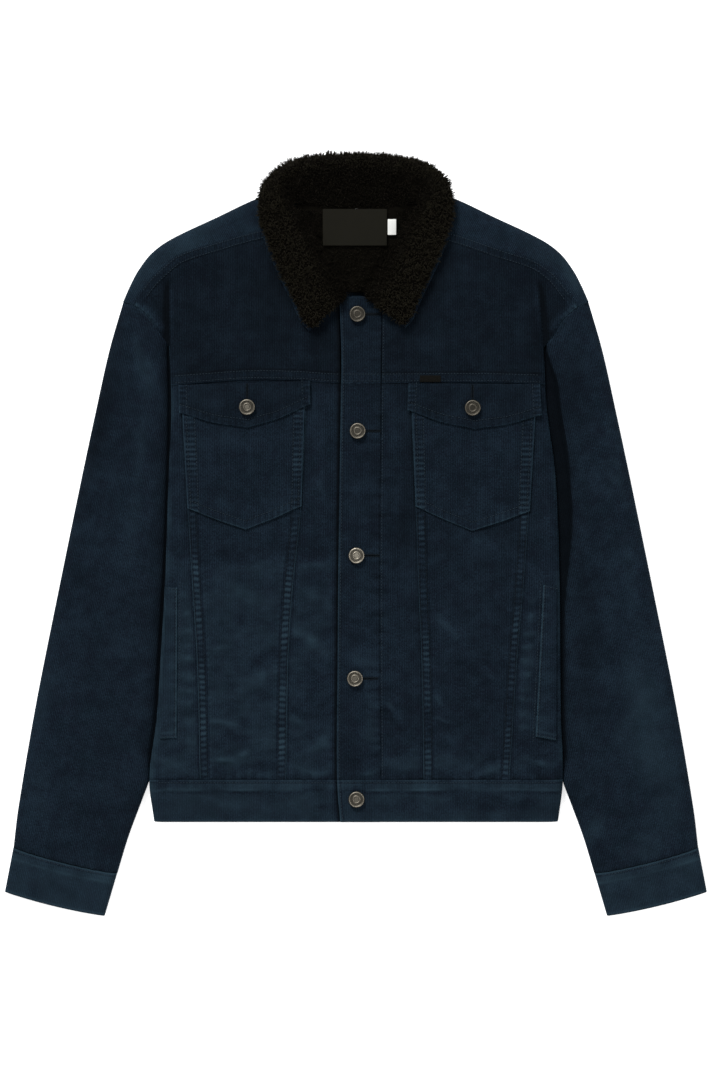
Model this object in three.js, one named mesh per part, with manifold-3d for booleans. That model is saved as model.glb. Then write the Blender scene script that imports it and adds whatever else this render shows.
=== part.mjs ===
// A sherpa lined corduroy jacket, buttoned and laid flat on its back, in millimetres.
// +X is the viewer's right, +Y runs from the cuffs to the collar, +Z comes off the surface.
// Every piece is a wall of cloth: the backs lie on the surface and the fronts lie on them.

import * as THREE from 'three';
import { mergeVertices } from 'three/addons/utils/BufferGeometryUtils.js';
import Module from 'manifold-3d';

// Thicknesses and levels. The body's corduroy is backed with pile, the sleeves' with a thin pad.
const SEAM_GAP = 0.36;
const BODY_BACK = 7.2;
const BODY_TOP = 15.4;
const SLEEVE_BACK = 4.3;
const SLEEVE_TOP = 12.6;
const BAND_TOP = 12.0;
const PLACKET_TOP = 17.4;
const WAISTBAND_TOP = 16.6;
const POCKET_WALL = 1.6;
const FLAP_WALL = 2.1;
const FOLD_EDGE = 9.0;
const FOLD_ROUND = 13;
const UNDER_COLLAR_WALL = 1.8;
const COLLAR_PILE = 8.5;
const BUTTON_RADIUS = 8.65;

// Levels across the jacket
const WAIST_SEAM_Y = -265;
const HEM_Y = -311;
const ARMPIT_Y = 203;
const BACK_SEAM_Y = 172;
const FOLD_START_Y = 285;

// Body's folded side, half width at each height
const SIDE_FOLD = [
  { y: -311, left: 218.3, right: 218.8 },
  { y: -265, left: 223.6, right: 224.2 },
  { y: -198, left: 215.4, right: 222.0 },
  { y: -138, left: 211.5, right: 221.2 },
  { y: -45, left: 206.2, right: 220.5 },
  { y: 64, left: 202.5, right: 216.0 },
  { y: 138, left: 199.6, right: 206.5 },
  { y: 203, left: 201.6, right: 203.0 },
  { y: 275, left: 201.6, right: 196.5 },
];

// Armhole seam, from the armpit's fold to the shoulder's edge
const ARMHOLE = [
  { y: 203.0, left: 201.6, right: 203.0 },
  { y: 215.0, left: 210.4, right: 214.5 },
  { y: 229.6, left: 220.9, right: 222.5 },
  { y: 242.0, left: 231.4, right: 235.0 },
  { y: 247.2, left: 239.8, right: 242.5 },
  { y: 252.0, left: 252.0, right: 252.0 },
];

// Shoulder's edge, from the neck to the armhole
const SHOULDER_EDGE = [
  { out: 86, y: 368.5 },
  { out: 105, y: 364.5 },
  { out: 150, y: 343.5 },
  { out: 201, y: 319.0 },
  { out: 222, y: 303.5 },
  { out: 236, y: 285.0 },
  { out: 244, y: 270.0 },
  { out: 252, y: 252.0 },
];

// Seam where the back yoke's strip meets the front yoke
const SHOULDER_SEAM = [
  { out: 57, left: 338.0, right: 336.0 },
  { out: 105, left: 328.1, right: 325.0 },
  { out: 156, left: 313.6, right: 307.7 },
  { out: 193, left: 300.8, right: 295.5 },
  { out: 214, left: 283.5, right: 281.0 },
  { out: 226, left: 271.0, right: 266.9 },
  { out: 235, left: 257.5, right: 253.5 },
  { out: 238, left: 247.0, right: 245.4 },
];

// Neck edge of the front yokes, then their edge beside the placket
const NECK_EDGE = [
  { y: 163, left: 16.6, right: 27.6 },
  { y: 248, left: 18.2, right: 28.4 },
  { y: 262, left: 19.0, right: 30.0 },
  { y: 275, left: 26.0, right: 35.0 },
  { y: 293, left: 38.5, right: 42.5 },
  { y: 315, left: 48.5, right: 52.0 },
  { y: 337, left: 57.5, right: 58.5 },
  { y: 359, left: 76.0, right: 74.0 },
  { y: 368.5, left: 86.0, right: 86.0 },
];
const BACK_NECK_Y = 353.5;

// Placket's free edge and its seam
const PLACKET = [
  { y: -311, free: -17.0, seam: 26.5 },
  { y: -265, free: -20.4, seam: 26.5 },
  { y: -124, free: -19.8, seam: 25.6 },
  { y: -28, free: -18.8, seam: 25.5 },
  { y: 160, free: -16.0, seam: 27.0 },
  { y: 189, free: -15.5, seam: 27.2 },
  { y: 248, free: -17.6, seam: 27.9 },
];
const PLACKET_CROWN = { y: 257.6, x: 2.3, left: 247, right: 243 };

// Seams of the lower front: beside the inner strip and the outer strip
const INNER_SEAM = [
  { y: -265, left: 75.0, right: 73.0 },
  { y: -143, left: 73.0, right: 71.0 },
  { y: -59, left: 68.0, right: 67.5 },
  { y: 27, left: 59.0, right: 64.5 },
  { y: 164, left: 52.0, right: 58.0 },
];
const OUTER_SEAM = [
  { y: -265, left: 168.5, right: 166.0 },
  { y: -142, left: 171.5, right: 174.0 },
  { y: -59, left: 176.6, right: 181.0 },
  { y: 25, left: 181.5, right: 187.0 },
  { y: 164, left: 189.5, right: 193.0 },
];

// Seam across the chest, under both yokes
const YOKE_SEAM = [
  { x: -199, y: 161.0 },
  { x: -164, y: 163.5 },
  { x: -114, y: 166.8 },
  { x: -63, y: 166.0 },
  { x: -18, y: 163.2 },
  { x: 130, y: 163.8 },
  { x: 205, y: 162.0 },
];

// Sleeve's outer edge, and its inner edge below the hem
const SLEEVE_OUTER = [
  { y: 252, out: 252.0 },
  { y: 200, out: 267.0 },
  { y: 130, out: 282.6 },
  { y: 58.5, out: 297.8 },
  { y: -70.8, out: 324.3 },
  { y: -182, out: 346.4 },
  { y: -296, out: 365.8 },
  { y: -339, out: 371.0 },
];
const SLEEVE_INNER_FREE = [
  { y: -269, out: 224.6 },
  { y: -298, out: 235.6 },
  { y: -329, out: 247.0 },
  { y: -367, out: 258.5 },
];
const CUFF = { topOut: 371, topOutY: -339, topIn: 258.5, topInY: -367, endOut: 380.2, endOutY: -386.7,
  endIn: 272, endInY: -412.8, bow: 2.5 };

// Corners of the pockets and flaps, distance from the middle and height
const POCKET = {
  left: { innerTop: [54.5, 150], inner: [58.5, 30.5], point: [119, 5], outer: [181.8, 28],
    outerTop: [188.5, 150] },
  right: { innerTop: [60.0, 150], inner: [64.5, 30], point: [125.4, 3.5], outer: [188, 25],
    outerTop: [195.2, 150] },
};
const FLAP = {
  left: { innerTop: [49.5, 165.4], inner: [49, 140.5], point: [116.5, 114.5], outer: [190.6, 131.2],
    outerTop: [191.4, 161.2] },
  right: { innerTop: [56.8, 163.0], inner: [55.6, 134], point: [127.8, 113.2], outer: [200.6, 128.8],
    outerTop: [198.9, 162.2] },
};
const WELT = {
  left: { innerTop: [192.6, -57.5], inner: [193.6, -219.6], outer: [211.6, -220.5],
    outerTop: [204.6, -56.8] },
  right: { innerTop: [202.4, -54.6], inner: [194.1, -218.3], outer: [216.8, -222.5],
    outerTop: [217.2, -56.6] },
};

// Buttons down the front, and one on each flap
const FRONT_BUTTONS = [
  { x: 1.7, y: 237.6 },
  { x: 1.9, y: 111.6 },
  { x: 0.7, y: -22.8 },
  { x: -1.0, y: -155.5 },
  { x: 0.7, y: -285.6 },
];
const FLAP_BUTTON = { left: { x: -117.2, y: 137.1 }, right: { x: 125.8, y: 136.2 } };

// Collar, from its front edge round to the middle of the back: neck side, outer side,
// where the roll lies between them, the height of the roll and of what lies beneath, and how far
// the corduroy's lip reaches past the pile
const COLLAR = [
  { inX: 10, inY: 256, outX: 49, outY: 221, roll: 0.30, crest: 27.0, under: 18.5, inward: 18.5, lip: 2.2 },
  { inX: 12, inY: 264, outX: 58, outY: 231, roll: 0.30, crest: 28.5, under: 18.5, inward: 18.5, lip: 2.2 },
  { inX: 21, inY: 277, outX: 68, outY: 253, roll: 0.28, crest: 29.5, under: 18.5, inward: 16.6, lip: 2.2 },
  { inX: 30, inY: 293, outX: 79, outY: 275, roll: 0.26, crest: 30.5, under: 18.5, inward: 16.0, lip: 2.2 },
  { inX: 39, inY: 309, outX: 88, outY: 295, roll: 0.26, crest: 31.0, under: 18.5, inward: 16.0, lip: 2.2 },
  { inX: 47, inY: 324, outX: 96, outY: 315, roll: 0.26, crest: 31.0, under: 18.5, inward: 16.0, lip: 2.2 },
  { inX: 54, inY: 338, outX: 103, outY: 335, roll: 0.28, crest: 30.5, under: 18.5, inward: 16.0, lip: 2.2 },
  { inX: 61, inY: 348, outX: 105, outY: 352, roll: 0.32, crest: 30.0, under: 18.5, inward: 16.0, lip: 2.2 },
  { inX: 66, inY: 355, outX: 104, outY: 368, roll: 0.42, crest: 29.0, under: 18.5, inward: 16.0, lip: -2 },
  { inX: 66, inY: 358, outX: 98, outY: 382, roll: 0.60, crest: 27.0, under: 13.0, inward: 13.0, lip: -2 },
  { inX: 60, inY: 358, outX: 89, outY: 393, roll: 0.78, crest: 23.5, under: 6.0, inward: 9.0, lip: -2 },
  { inX: 50, inY: 356, outX: 74, outY: 403, roll: 0.86, crest: 20.5, under: 2.3, inward: 7.6, lip: -2 },
  { inX: 36, inY: 354, outX: 52, outY: 409, roll: 0.88, crest: 19.0, under: 2.3, inward: 7.6, lip: -2 },
  { inX: 19, inY: 353, outX: 27, outY: 412, roll: 0.88, crest: 18.5, under: 2.3, inward: 7.6, lip: -2 },
  { inX: 0, inY: 353, outX: 0, outY: 412.8, roll: 0.88, crest: 18.5, under: 2.3, inward: 7.6, lip: -2 },
];

// Largest soft folds of the front: place, direction in degrees, half length, half width, height
const FRONT_FOLDS = [
  { x: -110, y: -215, turn: 24, long: 70, wide: 13, high: 1.5 },
  { x: -60, y: -120, turn: -32, long: 60, wide: 12, high: 1.2 },
  { x: -140, y: -60, turn: 74, long: 60, wide: 15, high: 1.1 },
  { x: 60, y: -210, turn: -28, long: 65, wide: 12, high: 1.5 },
  { x: 115, y: -120, turn: 62, long: 75, wide: 16, high: 1.2 },
  { x: 120, y: -235, turn: 8, long: 55, wide: 11, high: 1.1 },
  { x: 40, y: 40, turn: 80, long: 80, wide: 11, high: 0.9 },
  { x: -36, y: 60, turn: 97, long: 85, wide: 10, high: 1.0 },
  { x: -120, y: 235, turn: 12, long: 75, wide: 22, high: 1.2 },
  { x: 120, y: 228, turn: -14, long: 75, wide: 22, high: 1.2 },
];

const COLORS = { corduroy: 0x16222e, pile: 0x15120f, metal: 0x6e6455, satin: 0x101010, paper: 0xd8d8d4 };

const SIDES = [
  { name: 'left', sign: -1 },
  { name: 'right', sign: 1 },
];

const mix = (a, b, t) => a + (b - a) * t;
const clamp = (value, low = 0, high = 1) => Math.min(high, Math.max(low, value));
const ease = (t) => clamp(t) ** 2 * (3 - 2 * clamp(t));

// Smooth curve through one column of a table, as a function of its key column
function through(table, key, column) {
  const rows = [...table].sort((a, b) => a[key] - b[key]);
  const slope = (i) => {
    const before = rows[Math.max(0, i - 1)];
    const after = rows[Math.min(rows.length - 1, i + 1)];
    return (after[column] - before[column]) / (after[key] - before[key]);
  };
  return (at) => {
    let i = rows.findIndex((row) => row[key] > at) - 1;
    if (i === -2) i = rows.length - 2;
    i = clamp(i, 0, rows.length - 2);
    const step = rows[i + 1][key] - rows[i][key];
    const t = (at - rows[i][key]) / step;
    if (t < 0) return rows[i][column] + slope(i) * step * t;
    if (t > 1) return rows[i + 1][column] + slope(i + 1) * step * (t - 1);
    const bend = t * (1 - t) * step;
    return rows[i][column] * (1 - t) ** 2 * (1 + 2 * t) + rows[i + 1][column] * t ** 2 * (3 - 2 * t)
      + bend * (slope(i) * (1 - t) - slope(i + 1) * t);
  };
}

const bothSides = (table, key) => ({
  left: through(table, key, 'left'), right: through(table, key, 'right'),
});
const sideFold = bothSides(SIDE_FOLD, 'y');
const armhole = bothSides(ARMHOLE, 'y');
const shoulderSeam = bothSides(SHOULDER_SEAM, 'out');
const neckEdge = bothSides(NECK_EDGE, 'y');
const innerSeam = bothSides(INNER_SEAM, 'y');
const outerSeam = bothSides(OUTER_SEAM, 'y');
const shoulderEdge = through(SHOULDER_EDGE, 'out', 'y');
const yokeSeam = through(YOKE_SEAM, 'x', 'y');
const placketFree = through(PLACKET, 'y', 'free');
const placketSeam = through(PLACKET, 'y', 'seam');
const sleeveOuter = through(SLEEVE_OUTER, 'y', 'out');
const sleeveInnerFree = through(SLEEVE_INNER_FREE, 'y', 'out');

// Soft folds as ridges that fade at both ends
function foldHeight(x, y) {
  return FRONT_FOLDS.reduce((sum, fold) => {
    const turn = THREE.MathUtils.degToRad(fold.turn);
    const along = (x - fold.x) * Math.cos(turn) + (y - fold.y) * Math.sin(turn);
    const across = (y - fold.y) * Math.cos(turn) - (x - fold.x) * Math.sin(turn);
    return sum + fold.high * Math.exp(-((along / fold.long) ** 2) - (across / fold.wide) ** 2);
  }, 0);
}

// Rise of a folded edge: 0 at the edge, 1 past the round
const round = (distance, reach) => Math.sqrt(1 - (1 - clamp(distance / reach)) ** 2);

// Height of the front's outer face. It rounds down at the body's side, and above the armpit
// the body stands over the armhole's cloth along the same fold, less and less towards the top.
function frontZ(x, y) {
  const side = x < 0 ? 'left' : 'right';
  const fromFold = sideFold[side](y) - Math.abs(x);
  const upper = clamp((y - ARMPIT_Y) / (FOLD_START_Y - ARMPIT_Y));
  const low = y < ARMPIT_Y ? FOLD_EDGE : mix(FOLD_EDGE + 1, BODY_TOP, ease(upper));
  const reach = y < ARMPIT_Y ? FOLD_ROUND : mix(FOLD_ROUND, FOLD_ROUND / 2, ease(upper * 3));
  const high = BODY_TOP + foldHeight(x, y);
  return low + (high - low) * round(fromFold, reach);
}

// Closed body through rows of outer and inner points, with the rims joined
function wallMesh(rows) {
  const count = rows[0].outer.length;
  const positions = [];
  rows.forEach((row) => positions.push(...row.outer.flat(), ...row.inner.flat()));
  const outer = (r, c) => r * 2 * count + c;
  const inner = (r, c) => r * 2 * count + count + c;
  const index = [];
  const quad = (a, b, c, d) => index.push(a, b, c, a, c, d);
  for (let r = 0; r < rows.length - 1; r++) {
    for (let c = 0; c < count - 1; c++) {
      quad(outer(r, c), outer(r, c + 1), outer(r + 1, c + 1), outer(r + 1, c));
      quad(inner(r, c), inner(r + 1, c), inner(r + 1, c + 1), inner(r, c + 1));
    }
    quad(inner(r, 0), outer(r, 0), outer(r + 1, 0), inner(r + 1, 0));
    quad(outer(r, count - 1), inner(r, count - 1), inner(r + 1, count - 1), outer(r + 1, count - 1));
  }
  const last = rows.length - 1;
  for (let c = 0; c < count - 1; c++) {
    quad(inner(0, c), inner(0, c + 1), outer(0, c + 1), outer(0, c));
    quad(outer(last, c), outer(last, c + 1), inner(last, c + 1), inner(last, c));
  }
  return facingOut(positions, index);
}

// Geometry from points and triangles, turned outward by the sign of its volume
function facingOut(positions, index) {
  const geometry = new THREE.BufferGeometry();
  geometry.setAttribute('position', new THREE.Float32BufferAttribute(positions, 3));
  const corner = (i) => new THREE.Vector3().fromArray(positions, index[i] * 3);
  let volume = 0;
  for (let i = 0; i < index.length; i += 3) volume += corner(i).dot(corner(i + 1).cross(corner(i + 2)));
  if (volume < 0) index.reverse();
  geometry.setIndex(index);
  return geometry;
}

// Patch of points between four edges, each a function of 0 to 1
function patch({ bottom, top, start, end, across, up }) {
  return up.map((v) => across.map((u) => [0, 1].map((axis) => {
    const edges = mix(bottom(u)[axis], top(u)[axis], v) + mix(start(v)[axis], end(v)[axis], u);
    const low = mix(bottom(0)[axis], bottom(1)[axis], u);
    const high = mix(top(0)[axis], top(1)[axis], u);
    return edges - mix(low, high, v);
  })));
}

// Patch drawn in at its rim by half a seam's gap
function drawnIn(grid, gap = SEAM_GAP / 2) {
  const pull = (point, towards) => {
    const length = Math.hypot(towards[0] - point[0], towards[1] - point[1]);
    return point.map((value, axis) => value + (gap * (towards[axis] - value)) / length);
  };
  const rows = grid.map((row) => [pull(row[0], row[1]), ...row.slice(1, -1), pull(row.at(-1), row.at(-2))]);
  const first = rows[0].map((point, i) => pull(point, rows[1][i]));
  const last = rows.at(-1).map((point, i) => pull(point, rows.at(-2)[i]));
  return [first, ...rows.slice(1, -1), last];
}

// Wall over a patch, between two height functions
function clothWall(grid, outerZ, innerZ) {
  return wallMesh(grid.map((row) => ({
    outer: row.map(([x, y]) => [x, y, outerZ(x, y)]),
    inner: row.map(([x, y]) => [x, y, innerZ(x, y)]),
  })));
}

// Flat piece with a softly rounded rim
function plate(outline, bottom, top, soft) {
  const shape = new THREE.Shape(outline.map(([x, y]) => new THREE.Vector2(x, y)));
  const geometry = new THREE.ExtrudeGeometry(shape, {
    depth: top - bottom - 2 * soft,
    bevelThickness: soft, bevelSize: soft, bevelOffset: -soft, bevelSegments: 1,
  });
  geometry.translate(0, 0, bottom + soft);
  return geometry;
}

const steps = (count) => Array.from({ length: count + 1 }, (_, i) => i / count);
const towardsEnd = [0, 0.3, 0.55, 0.72, 0.85, 0.93, 0.98, 1];

// Edges for patches: a seam that runs up, and one that runs across
const seamUp = (out, sign, y0, y1) => (t) => [sign * out(mix(y0, y1, t)), mix(y0, y1, t)];
const seamAcross = (height, x0, x1) => (t) => [mix(x0, x1, t), height(mix(x0, x1, t))];
const waistSeam = () => WAIST_SEAM_Y;

// Height where a seam that runs up meets the yoke's seam
function meetYoke(out, sign) {
  let y = WAIST_SEAM_Y + 430;
  for (let i = 0; i < 6; i++) y = yokeSeam(sign * out(y));
  return y;
}

const part = new THREE.Group();

function add(name, geometry, finish, place = [0, 0, 0]) {
  for (const attribute of ['normal', 'uv']) geometry.deleteAttribute(attribute);
  const metal = finish === 'metal';
  const material = new THREE.MeshStandardMaterial({
    color: COLORS[finish], roughness: metal ? 0.4 : 0.9, metalness: metal ? 0.9 : 0,
  });
  const mesh = new THREE.Mesh(mergeVertices(geometry, 1e-4), material);
  mesh.name = name;
  mesh.position.set(...place);
  part.add(mesh);
}

// Panels of the lower front, between their seams
function addLowerFront({ name, sign }) {
  const beside = (y) => (sign < 0 ? -placketFree(y) : placketSeam(y));
  const panels = [
    { node: 'centre_front', inner: beside, outer: innerSeam[name], across: steps(3) },
    { node: 'middle_front', inner: innerSeam[name], outer: outerSeam[name], across: steps(7) },
    { node: 'side_front', inner: outerSeam[name], outer: sideFold[name], across: towardsEnd },
  ];
  for (const { node, inner, outer, across } of panels) {
    const innerTop = meetYoke(inner, sign);
    const outerTop = meetYoke(outer, sign);
    const grid = patch({
      bottom: seamAcross(waistSeam, sign * inner(WAIST_SEAM_Y), sign * outer(WAIST_SEAM_Y)),
      top: seamAcross(yokeSeam, sign * inner(innerTop), sign * outer(outerTop)),
      start: seamUp(inner, sign, WAIST_SEAM_Y, innerTop),
      end: seamUp(outer, sign, WAIST_SEAM_Y, outerTop),
      across, up: steps(11),
    });
    add(`${node}_${name}`, clothWall(drawnIn(grid), frontZ, () => BODY_BACK + SEAM_GAP), 'corduroy');
  }
}

// Shoulder seam from the neck to the armhole
function shoulderSeamLine({ name, sign }) {
  const seam = shoulderSeam[name];
  const first = SHOULDER_SEAM[0].out;
  const last = SHOULDER_SEAM.at(-1).out;
  const endGap = armhole[name](seam(last)) - last;
  return (t) => [sign * (mix(first, last, t) + endGap * t ** 8), seam(mix(first, last, t))];
}

// Front yoke, from the chest seam to the shoulder seam, round the neck and the armhole
const yokeAcross = [0, 0.1, 0.25, 0.4, 0.55, 0.68, 0.76, 0.82, 0.87, 0.93, 1];
function frontYokeGrid({ name, sign }) {
  const beside = neckEdge[name];
  const yokeInner = meetYoke(beside, sign);
  const yokeOuter = meetYoke(sideFold[name], sign);
  const seam = shoulderSeam[name];
  const first = SHOULDER_SEAM[0].out;
  const armholeEnd = seam(SHOULDER_SEAM.at(-1).out);
  const outerEdge = (t) => {
    const y = mix(yokeOuter, armholeEnd, t);
    return [sign * (y < ARMPIT_Y ? sideFold[name](y) : armhole[name](y)), y];
  };
  return patch({
    bottom: seamAcross(yokeSeam, sign * beside(yokeInner), sign * sideFold[name](yokeOuter)),
    top: shoulderSeamLine({ name, sign }),
    start: (t) => {
      const y = mix(yokeInner, seam(first), t);
      return [sign * mix(beside(y), first, t ** 8), y];
    },
    end: outerEdge,
    across: yokeAcross, up: steps(11),
  });
}

// Strip of the back yoke that comes over the shoulder to the front
function shoulderStripGrid({ name, sign }) {
  const edgeFirst = SHOULDER_EDGE[0].out;
  const edgeLast = SHOULDER_EDGE.at(-1).out;
  const bottom = shoulderSeamLine({ name, sign });
  const top = (t) => [sign * mix(edgeFirst, edgeLast, t), shoulderEdge(mix(edgeFirst, edgeLast, t))];
  const straight = (t0) => (t) => [0, 1].map((axis) => mix(bottom(t0)[axis], top(t0)[axis], t));
  return patch({ bottom, top, start: straight(0), end: straight(1), across: yokeAcross, up: towardsEnd });
}

// Outline of the back yoke, flat under the shoulders
function backYokeOutline() {
  const half = SIDES.map(({ name, sign }) => {
    const up = [BACK_SEAM_Y, ARMPIT_Y - 1].map((y) => [sign * sideFold[name](y), y]);
    const hole = ARMHOLE.slice(1).map((row) => [sign * armhole[name](row.y), row.y]);
    const edge = [...SHOULDER_EDGE].reverse().slice(1).map((row) => [sign * row.out, row.y]);
    return [...up, ...hole, ...edge];
  });
  const neck = [-60, -30, 0, 30, 60].map((x) => [x, BACK_NECK_Y - 1.5 + 8 * (x / 60) ** 2]);
  return [...half[1], ...neck.reverse(), ...half[0].reverse()];
}

async function joined(geometries) {
  const wasm = await Module();
  wasm.setup();
  const solids = geometries.map((geometry) => {
    for (const attribute of ['normal', 'uv']) geometry.deleteAttribute(attribute);
    const merged = mergeVertices(geometry, 1e-4);
    return new wasm.Manifold(new wasm.Mesh({
      numProp: 3,
      vertProperties: merged.attributes.position.array,
      triVerts: new Uint32Array(merged.index.array),
    }));
  });
  const whole = solids.reduce((sum, solid) => sum.add(solid)).getMesh();
  const geometry = new THREE.BufferGeometry();
  geometry.setAttribute('position', new THREE.Float32BufferAttribute(whole.vertProperties, 3));
  geometry.setIndex([...whole.triVerts]);
  return geometry;
}

async function addBackYoke() {
  const strips = SIDES.map((side) => {
    const grid = drawnIn(shoulderStripGrid(side));
    return wallMesh(grid.map((row, r) => {
      const rise = round(1 - towardsEnd[r], 0.42);
      const bottom = towardsEnd[r] > 0.8 ? BODY_BACK - 1 : BODY_BACK + SEAM_GAP;
      return {
        outer: row.map(([x, y]) => [x, y, mix(FOLD_EDGE - 0.5, frontZ(x, y), rise)]),
        inner: row.map(([x, y]) => [x, y, bottom]),
      };
    }));
  });
  const flat = plate(backYokeOutline(), 0, BODY_BACK, 2);
  add('back_yoke', await joined([flat, ...strips]), 'corduroy');
}

function addBackPanels() {
  const levels = [WAIST_SEAM_Y + 0.3, -198, -138, -45, 64, 120, BACK_SEAM_Y - 0.3];
  const outline = [
    ...levels.map((y) => [sideFold.right(y), y]),
    ...[...levels].reverse().map((y) => [-sideFold.left(y), y]),
  ];
  add('back_panel', plate(outline, 0, BODY_BACK, 2), 'corduroy');
  const ends = [HEM_Y, WAIST_SEAM_Y - 0.3];
  const band = [
    ...ends.map((y) => [sideFold.right(y), y]),
    ...[...ends].reverse().map((y) => [-sideFold.left(y), y]),
  ];
  add('waistband_back', plate(band, 0, BODY_BACK, 2), 'corduroy');
}

// Front closing: the hidden band under the placket, the placket, and the waistband's two ends
function addClosing() {
  const crown = (x) => {
    const side = x < PLACKET_CROWN.x ? PLACKET_CROWN.left : PLACKET_CROWN.right;
    const end = x < PLACKET_CROWN.x ? placketFree(248) : placketSeam(248);
    const t = (x - PLACKET_CROWN.x) / (end - PLACKET_CROWN.x);
    return mix(side, PLACKET_CROWN.y, Math.sqrt(Math.max(0, 1 - t * t)));
  };
  const strip = (bottom, topCurve, across, up) => patch({
    bottom: (t) => [mix(placketFree(bottom), placketSeam(bottom), t), bottom],
    top: topCurve,
    start: (t) => [placketFree(mix(bottom, topCurve(0)[1], t)), mix(bottom, topCurve(0)[1], t)],
    end: (t) => [placketSeam(mix(bottom, topCurve(1)[1], t)), mix(bottom, topCurve(1)[1], t)],
    across, up,
  });
  const rounded = (t) => {
    const x = mix(placketFree(PLACKET_CROWN.left), placketSeam(PLACKET_CROWN.right), t);
    return [x, crown(x)];
  };
  const hidden = (t) => [mix(placketFree(238), placketSeam(238), t), 238];
  const placketAcross = [0, 0.1, 0.25, 0.43, 0.6, 0.78, 0.92, 1];
  const placketUp = [...steps(11).slice(0, -1), 0.97, 1];
  const placket = drawnIn(strip(WAIST_SEAM_Y, rounded, placketAcross, placketUp));
  const soft = (x, y) => PLACKET_TOP + foldHeight(x, y) * 0.6;
  add('placket', clothWall(placket, soft, () => BAND_TOP + SEAM_GAP), 'corduroy');
  const band = drawnIn(strip(HEM_Y, hidden, steps(2), steps(8)));
  add('button_band', clothWall(band, () => BAND_TOP, () => BODY_BACK + SEAM_GAP), 'corduroy');
}

// Waistband's fronts. The right one lies over the button band down to the placket's edge.
function addWaistband() {
  for (const { name, sign } of SIDES) {
    const overlap = sign > 0;
    const inner = (y) => placketFree(y) * (overlap ? 1 : -1);
    const outer = sideFold[name];
    const seamAt = placketSeam(WAIST_SEAM_Y) - placketFree(WAIST_SEAM_Y);
    const width = outer(WAIST_SEAM_Y) - inner(WAIST_SEAM_Y);
    const before = seamAt / width;
    const rest = towardsEnd.slice(1).map((t) => mix(before + 0.02, 1, t));
    const plain = [0, 0.12, 0.24, ...towardsEnd.slice(1)];
    const across = overlap ? [0, before * 0.5, before, before + 0.01, ...rest] : plain;
    const grid = drawnIn(patch({
      bottom: (t) => [sign * mix(inner(HEM_Y), outer(HEM_Y), t), HEM_Y],
      top: (t) => [sign * mix(inner(WAIST_SEAM_Y), outer(WAIST_SEAM_Y), t), WAIST_SEAM_Y],
      start: seamUp(inner, sign, HEM_Y, WAIST_SEAM_Y),
      end: seamUp(outer, sign, HEM_Y, WAIST_SEAM_Y),
      across, up: [0, 0.06, 0.3, 0.6, 0.9, 1],
    }));
    const overBand = (c) => overlap && across[c] <= before + 1e-6;
    add(`waistband_front_${name}`, wallMesh(grid.map((row) => ({
      outer: row.map(([x, y], c) => {
        const raise = overBand(c) ? PLACKET_TOP + 0.6 - BODY_TOP : WAISTBAND_TOP - BODY_TOP;
        const hemRound = 1 - 0.12 * (1 - clamp((y - HEM_Y) / 3));
        return [x, y, (frontZ(x, y) + raise * round(outer(y) - Math.abs(x), FOLD_ROUND)) * hemRound];
      }),
      inner: row.map(([x, y], c) => {
        const over = overlap && across[c] <= before + 0.011;
        return [x, y, over ? BAND_TOP + SEAM_GAP : BODY_BACK + SEAM_GAP];
      }),
    }))), 'corduroy');
  }
}

// Sleeve's edges in the plane, and its patch from the armhole to the cuff's seam
function sleeveInner(name) {
  return (y) => (y > WAIST_SEAM_Y - 4 ? sideFold[name](Math.min(y, ARMPIT_Y)) + 0.8 : sleeveInnerFree(y));
}

function cuffLine(outX, outY, inX, inY) {
  return (t) => [mix(outX, inX, t), mix(outY, inY, t) - CUFF.bow * 4 * t * (1 - t)];
}

function sleeveGrid({ name, sign }, across, up) {
  const inner = sleeveInner(name);
  const hole = (t) => {
    const y = mix(ARMHOLE.at(-1).y, ARMPIT_Y, t);
    const clear = mix(0.25, 1.1, t);
    return [sign * (armhole[name](y) + clear), y - clear];
  };
  const end = cuffLine(CUFF.topOut, CUFF.topOutY, CUFF.topIn, CUFF.topInY);
  return patch({
    bottom: hole,
    top: (t) => [sign * end(t)[0], end(t)[1]],
    start: (t) => seamUp(sleeveOuter, sign, hole(0)[1], CUFF.topOutY)(t),
    end: (t) => {
      const y = mix(hole(1)[1], CUFF.topInY, t);
      return [sign * mix(inner(y), Math.abs(hole(1)[0]), Math.max(0, 1 - t * 30)), y];
    },
    across, up,
  });
}

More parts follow.
